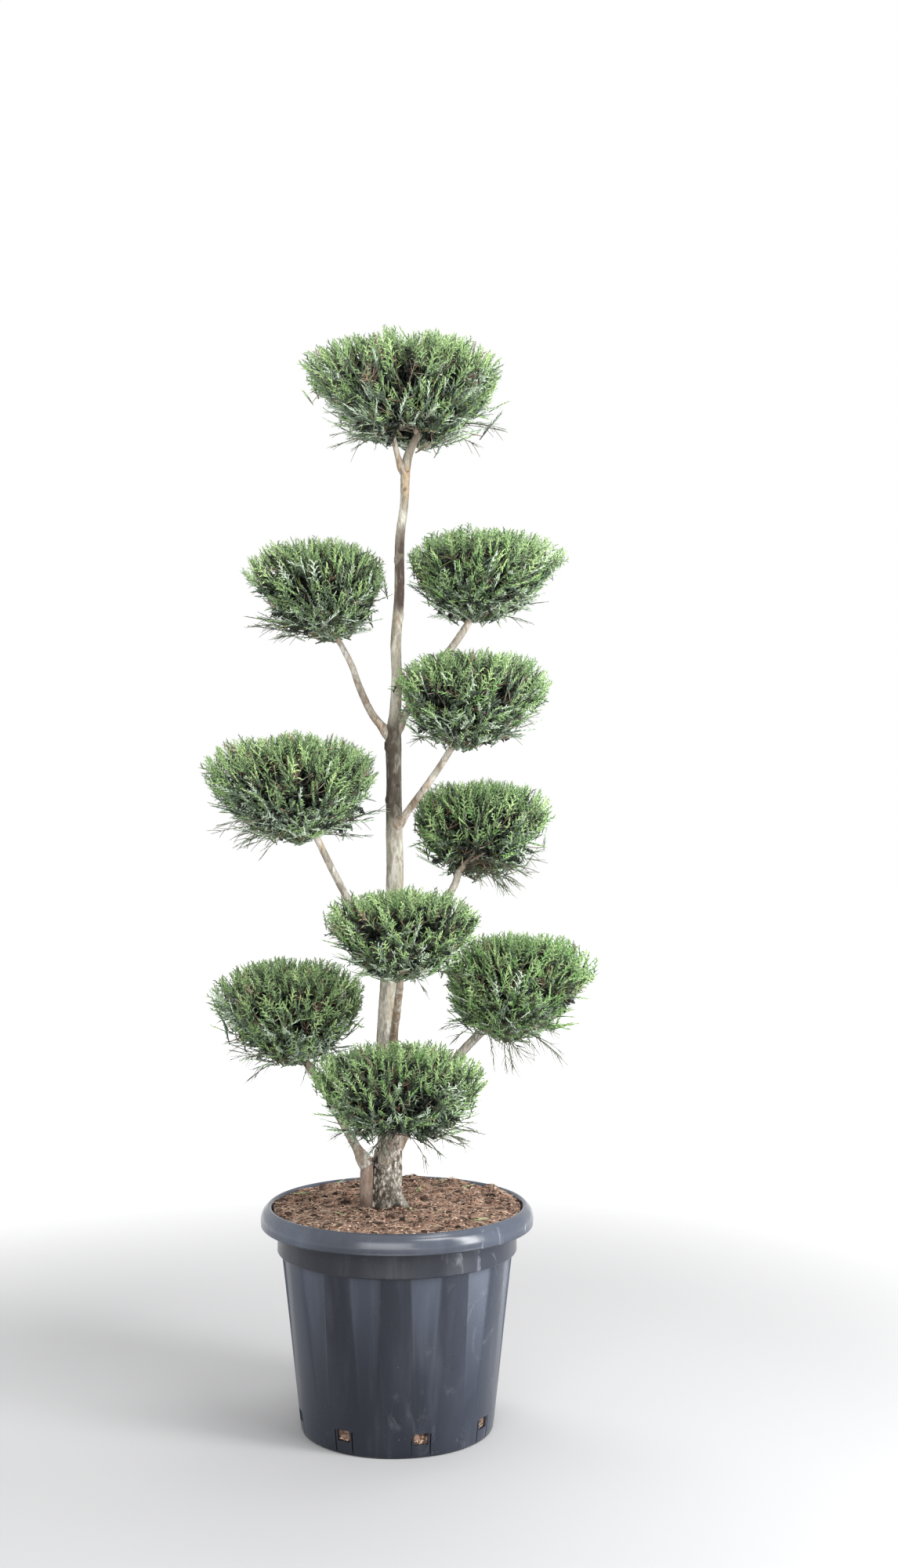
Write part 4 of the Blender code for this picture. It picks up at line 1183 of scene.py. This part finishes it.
greenTones = {   # plain colours that are dealt out by spray
    # deep paints shade inside the pads; pale and grey ends on low sprays partly paint light from below
    "deep": tone(27, 33, 25), "dark": tone(60, 74, 54), "cool": tone(100, 118, 98),
    "mid": tone(104, 126, 88), "leaf": tone(104, 144, 80), "fresh": tone(122, 150, 98),
    "bright": tone(142, 170, 114), "lime": tone(170, 196, 134), "pale": tone(182, 198, 176),
    "brown": tone(136, 120, 98), "grey": tone(142, 155, 136),
}
greenNames = list(greenTones)


class Pad:
    # one clipped pad: its outline, its heart, and the limbs that its twigs keep clear of
    def __init__(self, name):
        shape = {**padDefaults, **pads[name]}
        self.centre = Vector((*shape["centre"], 0.0))
        self.foot = Vector((*shape["foot"], 0.0))
        self.bottom, top = shape["levels"]
        self.height = top - self.bottom
        self.half, self.floor, self.fresh = shape["half"], shape["floor"], shape["fresh"]
        self.belly, self.bare, self.cleft = shape["belly"], shape["bare"], shape["cleft"]
        self.fringes = shape["fringes"]
        self.phase = random.Random(shape["seed"]).uniform(0.0, math.tau)
        self.limbs = []
        for limb in [*stems, *boughs]:
            points, radii = limbLine(limb, 0.02)
            self.limbs += [
                (a, b, max(p, q)) for a, b, p, q in zip(points, points[1:], radii, radii[1:])
                if self.near(a) or self.near(b)]
        points, radii = limbLine(shape["carrier"], 0.004)
        self.tip = points[-1]
        self.lead = (points[-1] - points[-2]).normalized()
        self.tipRadius = radii[-1]
        self.heart = self.middle(heartShare)
        self.openings = [
            (self.around(share, math.radians(turn), self.width(share) * 0.88), size)
            for turn, share, size in shape["hollows"]]

    def near(self, point, margin=0.03):
        flat = Vector((point.x - self.centre.x, point.y - self.centre.y, 0.0))
        level = self.bottom - margin < point.z < self.bottom + self.height + margin
        return level and flat.length < max(self.half) + margin

    def axis(self, share):
        lean = (1.0 - min(max(share / widest, 0.0), 1.0)) ** 1.5
        return self.centre.lerp(self.foot, lean)

    def middle(self, share):
        return self.axis(share) + Vector((0.0, 0.0, self.bottom + share * self.height))

    def around(self, share, turn, scale):
        return self.middle(share) + Vector((
            math.cos(turn) * self.half[0] * scale, math.sin(turn) * self.half[1] * scale, 0.0))

    def share(self, point):
        return (point.z - self.bottom) / self.height

    def width(self, share):
        if share <= 0.0 or share >= 1.0:
            return 0.0
        if share < widest:
            return math.sin(math.pi / 2 * (share / widest) ** 0.6)
        return (1.0 - ((share - widest) / (1.0 - widest)) ** 3.4) ** (1.0 / 2.8)

    def dense(self, share, away):
        # the part of the width that is thickly leaved; loose sprays reach further
        part = 0.97 * min(max((share - self.floor) / (0.72 - self.floor), 0.0), 1.0) ** 0.38
        part *= 1.0 - 0.10 * smoothStep(share, 0.80, 0.96)
        left, right = self.belly
        side = smoothStep(away.x / self.half[0], -0.4, 0.4)
        low = smoothStep(share, 0.66, 0.50)
        return part * (1.0 + low * (left + (right - left) * side - 1.0))

    def holds(self, point, dense=False):
        share = self.share(point)
        width = self.width(share)
        away = point - self.axis(share)
        if dense:
            width *= self.dense(share, away)
        if width == 0.0:
            return False
        if self.cleft:
            place, halfWidth, depth = self.cleft
            dip = depth * math.exp(-((point.x - place) / halfWidth) ** 2)
            if point.z > self.bottom + self.height - dip:
                return False
        angle = math.atan2(away.y, away.x)
        wave = 1.0 - outlineWave * (1.0 - math.sin(3 * angle + self.phase))
        reach = (away.x / self.half[0]) ** 2 + (away.y / self.half[1]) ** 2
        return reach < (width * wave) ** 2

    def reach(self, start, aim, dense=False, longest=0.25):
        near, far = 0.0, longest
        for _ in range(12):
            middle = (near + far) / 2
            if self.holds(start + aim * middle, dense):
                near = middle
            else:
                far = middle
        return near

    def meetsLimb(self, start, end, radius, steps=4):
        for i in range(steps + 1):
            point = start.lerp(end, i / steps)
            for a, b, thickness in self.limbs:
                line = b - a
                share = min(max((point - a).dot(line) / line.length_squared, 0.0), 1.0)
                if (point - a - line * share).length < thickness + radius + growthRule["clearance"]:
                    return True
        return False

    def isBare(self, *points):
        if not self.bare:
            return False
        left, right, top = self.bare
        return any(left < point.x < right and point.z < top and point.y < self.tip.y + 0.01
                   for point in points)

    def isBlocked(self, root, tip, steps=2):
        return self.meetsLimb(root, tip, 0.001, steps) or self.isBare(root, tip)

    def inHollow(self, point, share):
        return any((point - spot).length < size * share for spot, size in self.openings)

    def aims(self, count):
        golden = math.pi * (3.0 - math.sqrt(5.0))
        found = []
        for quarter in range(4):
            edge = self.around(widest, quarter * math.pi / 2, 1.0)
            found.append((edge - self.heart).normalized())
        count -= len(found)
        for i in range(count):
            rise = 1.0 - (i + 0.5) / count * (1.0 - math.cos(lowestAim))
            out = math.sqrt(1.0 - rise * rise)
            turn = i * golden + self.phase
            found.append(Vector((
                out * math.cos(turn) * self.half[0], out * math.sin(turn) * self.half[1],
                rise * self.height * 0.72)).normalized())
        return found


def spikeInto(corners, faces, marks, base, way, length, width, mark):
    # a cord: a slim pointed piece of four faces
    across = way.orthogonal().normalized()
    up = way.cross(across)
    first = len(corners)
    for side in range(3):
        turn = math.tau * side / 3
        corners.append(base + (across * math.cos(turn) + up * math.sin(turn)) * width * 0.6)
    corners.append(base + way * length)
    faces += [(first, first + 1, first + 3), (first + 1, first + 2, first + 3),
              (first + 2, first, first + 3), (first, first + 2, first + 1)]
    marks += [mark] * 4


def sprayShape(dice, cords, forks, spread, girth, reach):
    # a flat spray one unit long that grows along Z in the XZ plane, forked on alternate sides
    corners, faces, marks = [], [], []
    sway, arch = dice.uniform(-0.16, 0.16), dice.uniform(-0.16, 0.16)

    def axisAt(t):
        return Vector((sway * t * t, arch * t * t, t * (1.0 - 0.04 * t)))

    tubeInto(corners, faces, [axisAt(t) for t in (0.0, 0.55, 1.0)], [girth * 0.5, girth * 0.5], 3)
    marks += [0] * 3 + [1] * 3 + [0]
    side = dice.choice((-1, 1))
    for i in range(cords):
        t = 0.10 + 0.80 * i / max(cords - 1, 1)
        base = axisAt(t)
        ahead = (axisAt(t + 0.05) - base).normalized()
        turn = side * math.radians(spread) * (1.05 - 0.35 * t) * dice.uniform(0.85, 1.15)
        way = Vector((ahead.x * math.cos(turn) + ahead.z * math.sin(turn),
                      ahead.y + dice.uniform(-0.22, 0.22),
                      ahead.z * math.cos(turn) - ahead.x * math.sin(turn))).normalized()
        length = (reach - (reach - 0.16) * t) * dice.uniform(0.82, 1.15)
        spikeInto(corners, faces, marks, base, way, length, girth, int(t > 0.40))
        fork = side
        for j in range(forks):
            fork = -fork
            share = 0.24 + 0.46 * j / max(forks - 1, 1)
            lean = math.atan2(way.x, way.z) + fork * math.radians(dice.uniform(26.0, 42.0))
            twig = Vector((math.sin(lean), way.y + dice.uniform(-0.2, 0.2), math.cos(lean)))
            spikeInto(corners, faces, marks, base + way * length * share, twig.normalized(),
                      length * dice.uniform(0.42, 0.58), girth * 0.86, 1)
        side = -side
    mesh = meshOf("spray", corners, faces)
    layer = mesh.attributes.new("tip", "BOOLEAN", "FACE")
    layer.data.foreach_set("value", marks)
    return mesh


sprayKinds = {   # cords, forks on each, spread in degrees, girth, reach of the lowest cord
    "fan": (8, 2, 40.0, 0.050, 0.46), "fanWide": (7, 2, 48.0, 0.052, 0.52),
    "frond": (11, 0, 31.0, 0.042, 0.32), "frondLong": (12, 0, 25.0, 0.036, 0.26),
    "plume": (9, 1, 32.0, 0.044, 0.38), "plumeOpen": (8, 1, 42.0, 0.050, 0.46),
    "whip": (8, 0, 22.0, 0.036, 0.22), "inner": (6, 0, 50.0, 0.190, 0.62),
}
kindNames = list(sprayKinds)
sprayValues = (("aim", "FLOAT_VECTOR"), ("across", "FLOAT_VECTOR"), ("size", "FLOAT_VECTOR"),
               ("kind", "INT"), ("body", "INT"), ("ends", "INT"))


def sprayKit(dice):
    return collectionOf("spray", [sprayShape(dice, *sizes) for sizes in sprayKinds.values()])


def sprayTree(palette):
    # sprays on points, aimed and sized by the points' own values, painted by spray
    growth = Growth("spray_growth", {"Sprays": ("Collection", None), "Girth": ("Float", 1.0)})
    facing = growth.node(
        "FunctionNodeAxesToRotation", {"primary_axis": "Z", "secondary_axis": "X"},
        {"Primary Axis": growth.attribute("aim", "FLOAT_VECTOR"),
         "Secondary Axis": growth.attribute("across", "FLOAT_VECTOR")})
    size = growth.node("ShaderNodeVectorMath", {"operation": "SCALE"},
                       {0: growth.attribute("size", "FLOAT_VECTOR"), 3: growth.entry["Girth"]})
    placed = growth.node("GeometryNodeInstanceOnPoints", None, {
        "Points": growth.entry["Geometry"], "Instance": growth.kit("Sprays"), "Pick Instance": True,
        "Instance Index": growth.attribute("kind", "INT"), "Rotation": facing, "Scale": size})
    whole = growth.realized(placed)
    index = growth.node("GeometryNodeSwitch", {"input_type": "INT"}, {
        "Switch": growth.attribute("tip", "BOOLEAN"), "False": growth.attribute("body", "INT"),
        "True": growth.attribute("ends", "INT")})
    return growth.close(growth.paint(whole, palette, index))


def twigTree(palette):
    # tapering twigs along lines, their girth and finish from the lines' own values
    growth = Growth("twig_growth", {"Sides": ("Int", 4)})
    lines = growth.node("GeometryNodeMeshToCurve", None, {"Mesh": growth.entry["Geometry"]})
    outline = growth.node("GeometryNodeCurvePrimitiveCircle", {"mode": "RADIUS"},
                          {"Resolution": growth.entry["Sides"], "Radius": 1.0})
    tubes = growth.node("GeometryNodeCurveToMesh", None, {
        "Curve": lines, "Profile Curve": outline, "Scale": growth.attribute("girth", "FLOAT"),
        "Fill Caps": True})
    whole = growth.realized(tubes)
    return growth.close(growth.paint(whole, palette, growth.attribute("paint", "INT")))


class Skeleton:
    # lines for the twig tree
    def __init__(self):
        self.corners, self.edges, self.girths, self.paints = [], [], [], []

    def add(self, points, thick, thin, paint):
        first = len(self.corners)
        last = len(points) - 1
        self.corners += points
        self.edges += [(first + i, first + i + 1) for i in range(last)]
        self.girths += [thick + (thin - thick) * i / last for i in range(last + 1)]
        self.paints += [paint] * (last + 1)

    def mesh(self, name):
        mesh = bpy.data.meshes.new(name)
        mesh.from_pydata(self.corners, self.edges, [])
        pointValues(mesh, "girth", "FLOAT", self.girths)
        pointValues(mesh, "paint", "INT", self.paints)
        return mesh


class SprayBed:
    # points for the spray tree
    def __init__(self):
        self.rows = []

    def add(self, root, aim, across, size, kind, body, ends, slim=1.0):
        self.rows.append((
            root, aim, across, (size * slim, size * slim, size), kindNames.index(kind),
            greenNames.index(body), greenNames.index(ends)))

    def mesh(self, name):
        mesh = bpy.data.meshes.new(name)
        mesh.from_pydata([row[0] for row in self.rows], [], [])
        for column, (label, kind) in enumerate(sprayValues, 1):
            values = [row[column] for row in self.rows]
            if kind == "FLOAT_VECTOR":
                values = [part for value in values for part in value]
            pointValues(mesh, label, kind, values)
        return mesh


def arc(start, bend, end, count):
    # a quadratic curve from start to end, pulled towards bend
    return [start.lerp(bend, i / (count - 1)).lerp(bend.lerp(end, i / (count - 1)), i / (count - 1))
            for i in range(count)]


def onLine(points, share):
    along = min(max(share, 0.0), 1.0) * (len(points) - 1)
    i = min(int(along), len(points) - 2)
    return points[i].lerp(points[i + 1], along - i), (points[i + 1] - points[i]).normalized()


def sprayPaint(dice, share, depth, fresh=0.0):
    # the greens of a spray by its place: yellow-green on the clipped top, cooler and darker below
    luck = dice.random()
    # sprays deep in the pad take near-black greens: painted shade
    if depth < 0.62:
        return ("deep", "dark") if luck < 0.55 else ("dark", "cool")
    if dice.random() < fresh * smoothStep(share, 0.14, 0.40):
        return dice.choice((("dark", "leaf"), ("dark", "fresh"), ("leaf", "bright")))
    if share > 0.80:
        table = ((0.04, "mid", "brown"), (0.30, "dark", "mid"), (0.56, "dark", "fresh"),
                 (0.84, "mid", "bright"), (1.01, "fresh", "lime"))
    elif share > 0.56:
        table = ((0.03, "cool", "grey"), (0.05, "cool", "brown"), (0.32, "dark", "mid"),
                 (0.56, "dark", "fresh"), (0.78, "cool", "bright"), (0.91, "mid", "lime"),
                 (1.01, "cool", "pale"))
    elif share > 0.38:
        table = ((0.05, "cool", "grey"), (0.06, "dark", "brown"), (0.26, "dark", "cool"),
                 (0.50, "dark", "fresh"), (0.76, "cool", "bright"), (1.01, "cool", "pale"))
    else:
        # low sprays: pale and grey greens partly paint the light that reaches them from below
        table = ((0.10, "cool", "grey"), (0.13, "brown", "grey"), (0.20, "dark", "bright"),
                 (0.42, "mid", "bright"), (0.78, "grey", "pale"), (1.01, "cool", "pale"))
    return next(pair[1:] for pair in table if luck < pair[0])


class PadGrowth:
    # a pad's stems, twigs and sprays; the order of the draws from its dice is fixed
    def __init__(self, name):
        self.pad = Pad(name)
        self.dice = random.Random(pads[name]["seed"] * 31)
        self.limbs, self.twigs, self.sprays = Skeleton(), Skeleton(), SprayBed()
        self.growStems()
        self.growShoots()
        self.growShell()
        self.growMiddle()
        self.growInside()
        self.growFringes()

    def draw(self, label):
        return self.dice.uniform(*growthRule[label])

    def scattered(self, amount):
        return Vector([self.dice.gauss(0, amount) for _ in range(3)])

    def growStems(self):
        # the bough's end as far as the heart, and the stems that leave it
        pad, dice, rule = self.pad, self.dice, growthRule
        bend = pad.tip.lerp(pad.heart, 0.45) + pad.lead * 0.008
        self.stem = arc(pad.tip - pad.lead * 0.004, bend, pad.heart, 7)
        self.limbs.add(self.stem, pad.tipRadius * 1.02, pad.tipRadius * rule["stemGirth"], greyTwig)
        self.primaries = []
        for aim in pad.aims(rule["primaries"]):
            start, way = onLine(self.stem, dice.uniform(0.15, 1.0))
            end = pad.heart + aim * pad.reach(pad.heart, aim) * self.draw("primaryReach")
            bend = start.lerp(end, 0.45) + way * 0.012 - upwards * dice.uniform(0.0, 0.006)
            line = arc(start, bend, end, 8)
            girth = rule["primaryGirth"] * dice.uniform(0.85, 1.2)
            paint = dice.choice((greyTwig, greyTwig, redTwig))
            self.limbs.add(line, girth, rule["primaryTip"], paint)
            self.primaries.append((aim, line))

    def growShoots(self):
        pad, dice, rule = self.pad, self.dice, growthRule
        self.carriers = []   # points that finer twigs may start from
        for aim in pad.aims(rule["shoots"]):
            aim = (aim + self.scattered(0.05)).normalized()
            line = max(self.primaries, key=lambda primary: primary[0].dot(aim))[1]
            start, _ = onLine(line, dice.uniform(0.35, 1.0))
            span = pad.reach(pad.heart, aim, dense=True)
            end = pad.heart + aim * span * self.draw("shootReach")
            length = (end - start).length
            bend = start.lerp(end, 0.5) + aim.cross(upwards) * dice.uniform(-0.10, 0.10) * length
            bend -= upwards * dice.uniform(0.0, 0.12) * length * (1.0 - max(aim.z, 0.0))
            shoot = arc(start, bend, end, 7)
            if pad.meetsLimb(shoot[2], end, 0.002) or pad.share(end) < pad.floor + 0.06:
                continue
            girth = rule["shootGirth"] * dice.uniform(0.9, 1.3)
            paint = dice.choice((greyTwig, redTwig, redTwig, greenTwig))
            self.twigs.add(shoot, girth, rule["shootTip"], paint)
            for share in (0.2, 0.36, 0.52, 0.68, 0.84, 1.0):
                point, way = onLine(shoot, share)
                self.carriers.append((point, way, (point - pad.heart).length))

    def growShell(self):
        # the clipped outside, and among its lower sprays the feathers that stand out of it
        pad, dice, rule = self.pad, self.dice, growthRule
        wide, deep = pad.half
        area = math.pi * wide * deep + 4.6 * math.sqrt(wide * deep) * pad.height
        for aim in pad.aims(round(rule["outerDensity"] * area)):
            aim = (aim + self.scattered(0.035)).normalized()
            span = pad.reach(pad.heart, aim)
            share = pad.share(pad.heart + aim * span)
            low = 1.0 - smoothStep(share, 0.16, 0.64)
            if dice.random() < rule["lowThinning"] * low:
                continue
            isLow = low > 0.10 and share > pad.floor + 0.06
            feather = isLow and dice.random() < rule["feathers"]
            if feather:
                drawn = self.draw("featherReach") * (1.0 - 0.10 * low)
            else:
                span = pad.reach(pad.heart, aim, dense=True)
                drawn = 1.0 - (0.04 + 0.12 * low) * dice.random() ** 1.5
                drawn *= 1.0 + 0.09 * noise.noise(aim * 3.6 + pad.middle(0.0) * 40.0)
            tip = pad.heart + aim * span * drawn
            if not pad.inHollow(tip, dice.uniform(0.7, 1.2)):
                self.growOuterSpray(aim, tip, share, low, feather)

    def growOuterSpray(self, aim, tip, share, low, feather):
        pad, dice = self.pad, self.dice
        outward = (tip - pad.middle(pad.floor + 0.03)).normalized()
        lift = 0.30 * smoothStep(share, 0.55, 0.90)
        stray = dice.choice((0.10, 0.10, 0.17, 0.36))
        grow = (outward + upwards * lift + self.scattered(stray)).normalized()
        size = self.draw("outerLength") * (1.0 + 0.30 * low)
        size *= 1.0 - 0.16 * smoothStep(share, 0.7, 0.9)
        root = tip - grow * size
        if not pad.holds(root) or pad.share(root) < pad.floor - 0.02:
            grow = (aim + self.scattered(0.10)).normalized()
            root = tip - grow * size
        if pad.isBlocked(root, tip, 3):
            return
        kind = dice.choice(("fan", "fanWide", "frond", "frond", "frondLong", "plume", "plumeOpen"))
        across = self.scattered(1.0)
        if feather or dice.random() < low:
            kind = dice.choice(("whip", "frondLong", "frond", "whip" if feather else "plume"))
            across = grow.cross(upwards) + self.scattered(0.25)
        body, ends = sprayPaint(dice, pad.share(tip), 1.0, pad.fresh)
        self.sprays.add(root, grow, across, size, kind, body, ends)
        self.growTwigTo(root, grow, size)

    def growTwigTo(self, root, grow, size):
        # a twig from the nearest point of a shoot, one nearer the heart if it can be
        away = (root - self.pad.heart).length
        start, way, _ = min(self.carriers, key=lambda spot: (spot[0] - root).length + (
            0.0 if spot[2] < away else 0.05))
        bend = start.lerp(root, 0.55) + way * 0.15 * (root - start).length
        if not self.pad.meetsLimb(start, root, 0.001, 3):
            girth = growthRule["twigGirth"]
            paint = self.dice.choice((redTwig, redTwig, greenTwig, greyTwig))
            self.twigs.add(arc(start, bend, root + grow * 0.12 * size, 4), girth * 1.2, girth, paint)

    def growMiddle(self):
        pad, dice, rule = self.pad, self.dice, growthRule
        for _ in range(rule["midSprays"]):
            root, way, _ = dice.choice(self.carriers)
            grow = (way + self.scattered(0.45)).normalized()
            size = min(self.draw("midLength"), pad.reach(root, grow, longest=0.08) * 0.95)
            tip = root + grow * size
            if size < rule["midLeast"] or pad.isBlocked(root, tip):
                continue
            if dice.random() < 1.0 - smoothStep(pad.share(tip), pad.floor, pad.floor + 0.22):
                continue
            # middle sprays: the lower depths draw near-black painted shade
            body, ends = sprayPaint(dice, pad.share(tip), dice.uniform(0.4, 0.8))
            self.sprays.add(root, grow, self.scattered(1.0), size,
                            dice.choice(("plume", "plumeOpen")), body, ends)

    def growInside(self):
        # short dark sprays that close the view through the pad; their near-black greens are painted
        # shade
        pad, dice, rule = self.pad, self.dice, growthRule
        for aim in pad.aims(rule["innerSprays"]):
            span = pad.reach(pad.heart, aim, dense=True)
            root = pad.heart + aim * span * self.draw("innerPlace")
            grow = (aim + self.scattered(0.35)).normalized()
            size = min(self.draw("innerLength"), pad.reach(root, grow, longest=0.08) * 0.72)
            small = size < rule["innerLeast"] or pad.share(root) < pad.floor + 0.19
            if not small and not pad.isBlocked(root, root + grow * size):
                self.sprays.add(root, grow, self.scattered(1.0), size, "inner", "deep",
                                dice.choice(("deep", "deep", "dark")))

    def growFringes(self):
        for direction, spread, count, droop, beyond in self.pad.fringes:
            for _ in range(count):
                self.growFringe(direction, spread, droop, beyond)

    def growFringe(self, direction, spread, droop, beyond):
        # one bare twig with a few whips and forks
        pad, dice, rule = self.pad, self.dice, growthRule
        turn = math.radians(direction + dice.uniform(-spread, spread))
        low = self.draw("fringeLevel")
        start, _ = onLine(self.stem, dice.uniform(0.0, 0.6))
        end = pad.around(low, turn, pad.width(low) * dice.uniform(0.86, 1.0 + beyond))
        fall = droop * dice.uniform(0.2, 1.0)
        end.z = max(end.z - fall, pad.bottom + 0.002)
        bend = start.lerp(end, 0.55) + upwards * (fall * 0.8 + dice.uniform(0.0, 0.008))
        line = arc(start, bend, end, 7)
        if pad.meetsLimb(line[2], end, 0.001):
            return
        self.twigs.add(line, *rule["fringeGirths"], bareTwig)
        for share in (0.62, 0.80):
            root, way = onLine(line, share)
            grow = (way + self.scattered(0.16)).normalized()
            size = self.draw("whipLength")
            if not pad.meetsLimb(root, root + grow * size, 0.001, 2):
                self.sprays.add(root, grow, self.scattered(1.0), size, "whip",
                                dice.choice(("cool", "dark")), dice.choice(("grey", "cool")))
        for _ in range(dice.randint(*rule["forks"])):
            root, way = onLine(line, dice.uniform(0.40, 0.92))
            off = self.scattered(1.0)
            off = (off - way * off.dot(way)).normalized()
            reach = self.draw("forkLength")
            tip = root + (way + off * 0.6).normalized() * reach - upwards * 0.004
            fork = arc(root, root.lerp(tip, 0.5) + upwards * 0.002, tip, 4)
            self.twigs.add(fork, *rule["forkGirths"], bareTwig)


def joinMeshes(name, meshes):
    holders = [holderOf(mesh) for mesh in meshes]
    with bpy.context.temp_override(active_object=holders[0], selected_editable_objects=holders):
        bpy.ops.object.join()
    joined = holders[0].data
    bpy.data.objects.remove(holders[0])
    joined.name = name
    return joined


def makeFoliage(greens):
    shapes = sprayKit(random.Random(7))
    growSprays = sprayTree(greens)
    growTwigs = twigTree([plainFinish("twig_" + name, *look) for name, look in twigTones.items()])
    for name in pads:
        grown = PadGrowth(name)
        points = grown.sprays.mesh(name + "_points")
        sprays = bake(points, growSprays, {"Sprays": shapes}, name + "_sprays")
        addPiece(name + "_sprays", sprays, [name])
        thick = bake(grown.limbs.mesh(name + "_stems"), growTwigs, {"Sides": 7}, name + "_stems")
        thin = bake(grown.twigs.mesh(name + "_lines"), growTwigs, {"Sides": 3}, name + "_thin")
        addPiece(name + "_twigs", joinMeshes(name + "_twigs", [thick, thin]), [name])
    dropCollection(shapes)


clippings = (   # place on the soil, length and turn in degrees of each fallen green clipping
    (-0.129, 0.056, 0.030, 200.0), (-0.100, 0.130, 0.022, 40.0), (0.0263, 0.061, 0.026, 70.0),
    (0.0897, 0.088, 0.026, 10.0), (0.0252, -0.063, 0.020, 110.0), (0.105, -0.115, 0.028, 20.0),
    (-0.070, -0.080, 0.018, 150.0), (0.060, 0.140, 0.022, 300.0),
)


def makeClippings(greens, dice):
    shapes = sprayKit(dice)
    bed = SprayBed()
    for x, y, length, turn in clippings:
        lie = math.radians(turn)
        aim = Vector((math.cos(lie), math.sin(lie), 0.10))
        root = Vector((x, y, soilHeight(x, y) + 0.0022))
        bed.add(root, aim, aim.cross(upwards), length, dice.choice(("plume", "plumeOpen")),
                "fresh", "lime", slim=0.6)
    mesh = bake(bed.mesh("clipping_points"), sprayTree(greens), {"Sprays": shapes}, "soil_clippings")
    addPiece("soil_clippings", mesh)
    dropCollection(shapes)


# Floor, light and camera

floorShape = {"reach": 14.0, "level": -0.0004, "near": (0.34, 0.34, 0.345), "far": (0.80, 0.80, 0.80)}
lights = {   # place, target, size in metres, power in watts
    "front_soft": ((-0.6, -4.4, 1.9), (0, 0, 0.9), (3.2, 2.6), 150.0),
    "top_soft": ((0.3, 0.5, 3.2), (0, 0, 0.9), (1.8, 0.6), 45.0),
    "strip_right": ((1.7, -0.9, 0.9), (0, 0, 0.35), (0.5, 1.6), 52.0),
    "low_soft": ((-0.2, -3.0, 0.22), (0, 0, 1.1), (2.6, 0.36), 17.0),
}
sunlight = {"strength": 1.7, "angle": math.radians(24.0), "way": (-0.8, 0.7, -1.5)}
# level, at the height and distance that the photo's ruler and pot ellipses give
cameraView = {"lens": 42.3, "sensor": 36.0, "place": (0.0755, -2.69, 0.935)}


def makeStage():
    # a floor that is grey where the pot mirrors it and pale further out
    reach, level = floorShape["reach"], floorShape["level"]
    corners = [(-reach, -reach, level), (reach, -reach, level), (reach, reach, level),
               (-reach, reach, level)]
    floor = addObject("floor", meshOf("floor", corners, [(0, 1, 2, 3)]))
    finish = Finish("floor_pale", {"Roughness": 0.7, "Specular IOR Level": 0.2})
    away = finish.distance((0.0, 0.0, 0.0))
    colour = finish.blend(floorShape["near"], floorShape["far"], finish.between(away, 0.7, 2.6))
    floor.data.materials.append(finish.surface({"Base Color": colour}))


def aimedAlong(way):
    return Vector(way).to_track_quat("-Z", "Y").to_euler()


def makeLights():
    for name, (place, target, size, power) in lights.items():
        lamp = bpy.data.lights.new(name, "AREA")
        lamp.shape = "RECTANGLE"
        lamp.size, lamp.size_y = size
        lamp.energy = power
        item = addObject(name, lamp)
        item.location = place
        item.rotation_euler = aimedAlong(Vector(target) - Vector(place))
    sun = bpy.data.lights.new("sun", "SUN")
    sun.energy, sun.angle = sunlight["strength"], sunlight["angle"]
    addObject("sun", sun).rotation_euler = aimedAlong(sunlight["way"])
    world = bpy.data.worlds.new("studio")
    world.use_nodes = True
    sky = world.node_tree.nodes["Background"].inputs
    sky["Color"].default_value = (1.0, 1.0, 1.0, 1.0)
    sky["Strength"].default_value = 1.0
    bpy.context.scene.world = world
    bpy.context.scene.view_settings.view_transform = "Standard"


def makeCamera():
    data = bpy.data.cameras.new("camera")
    data.lens, data.sensor_width = cameraView["lens"], cameraView["sensor"]
    camera = addObject("camera", data)
    camera.location = cameraView["place"]
    camera.rotation_euler = (math.radians(90.0), 0.0, 0.0)
    bpy.context.scene.camera = camera


makeCamera()
makeStage()
makeLights()
makeLimbs()
makePot()
greens = [plainFinish("green_" + name, colour, 0.55, 0.35) for name, colour in greenTones.items()]
makeSoil(greens)
makeFoliage(greens)
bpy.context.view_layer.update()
report("done")
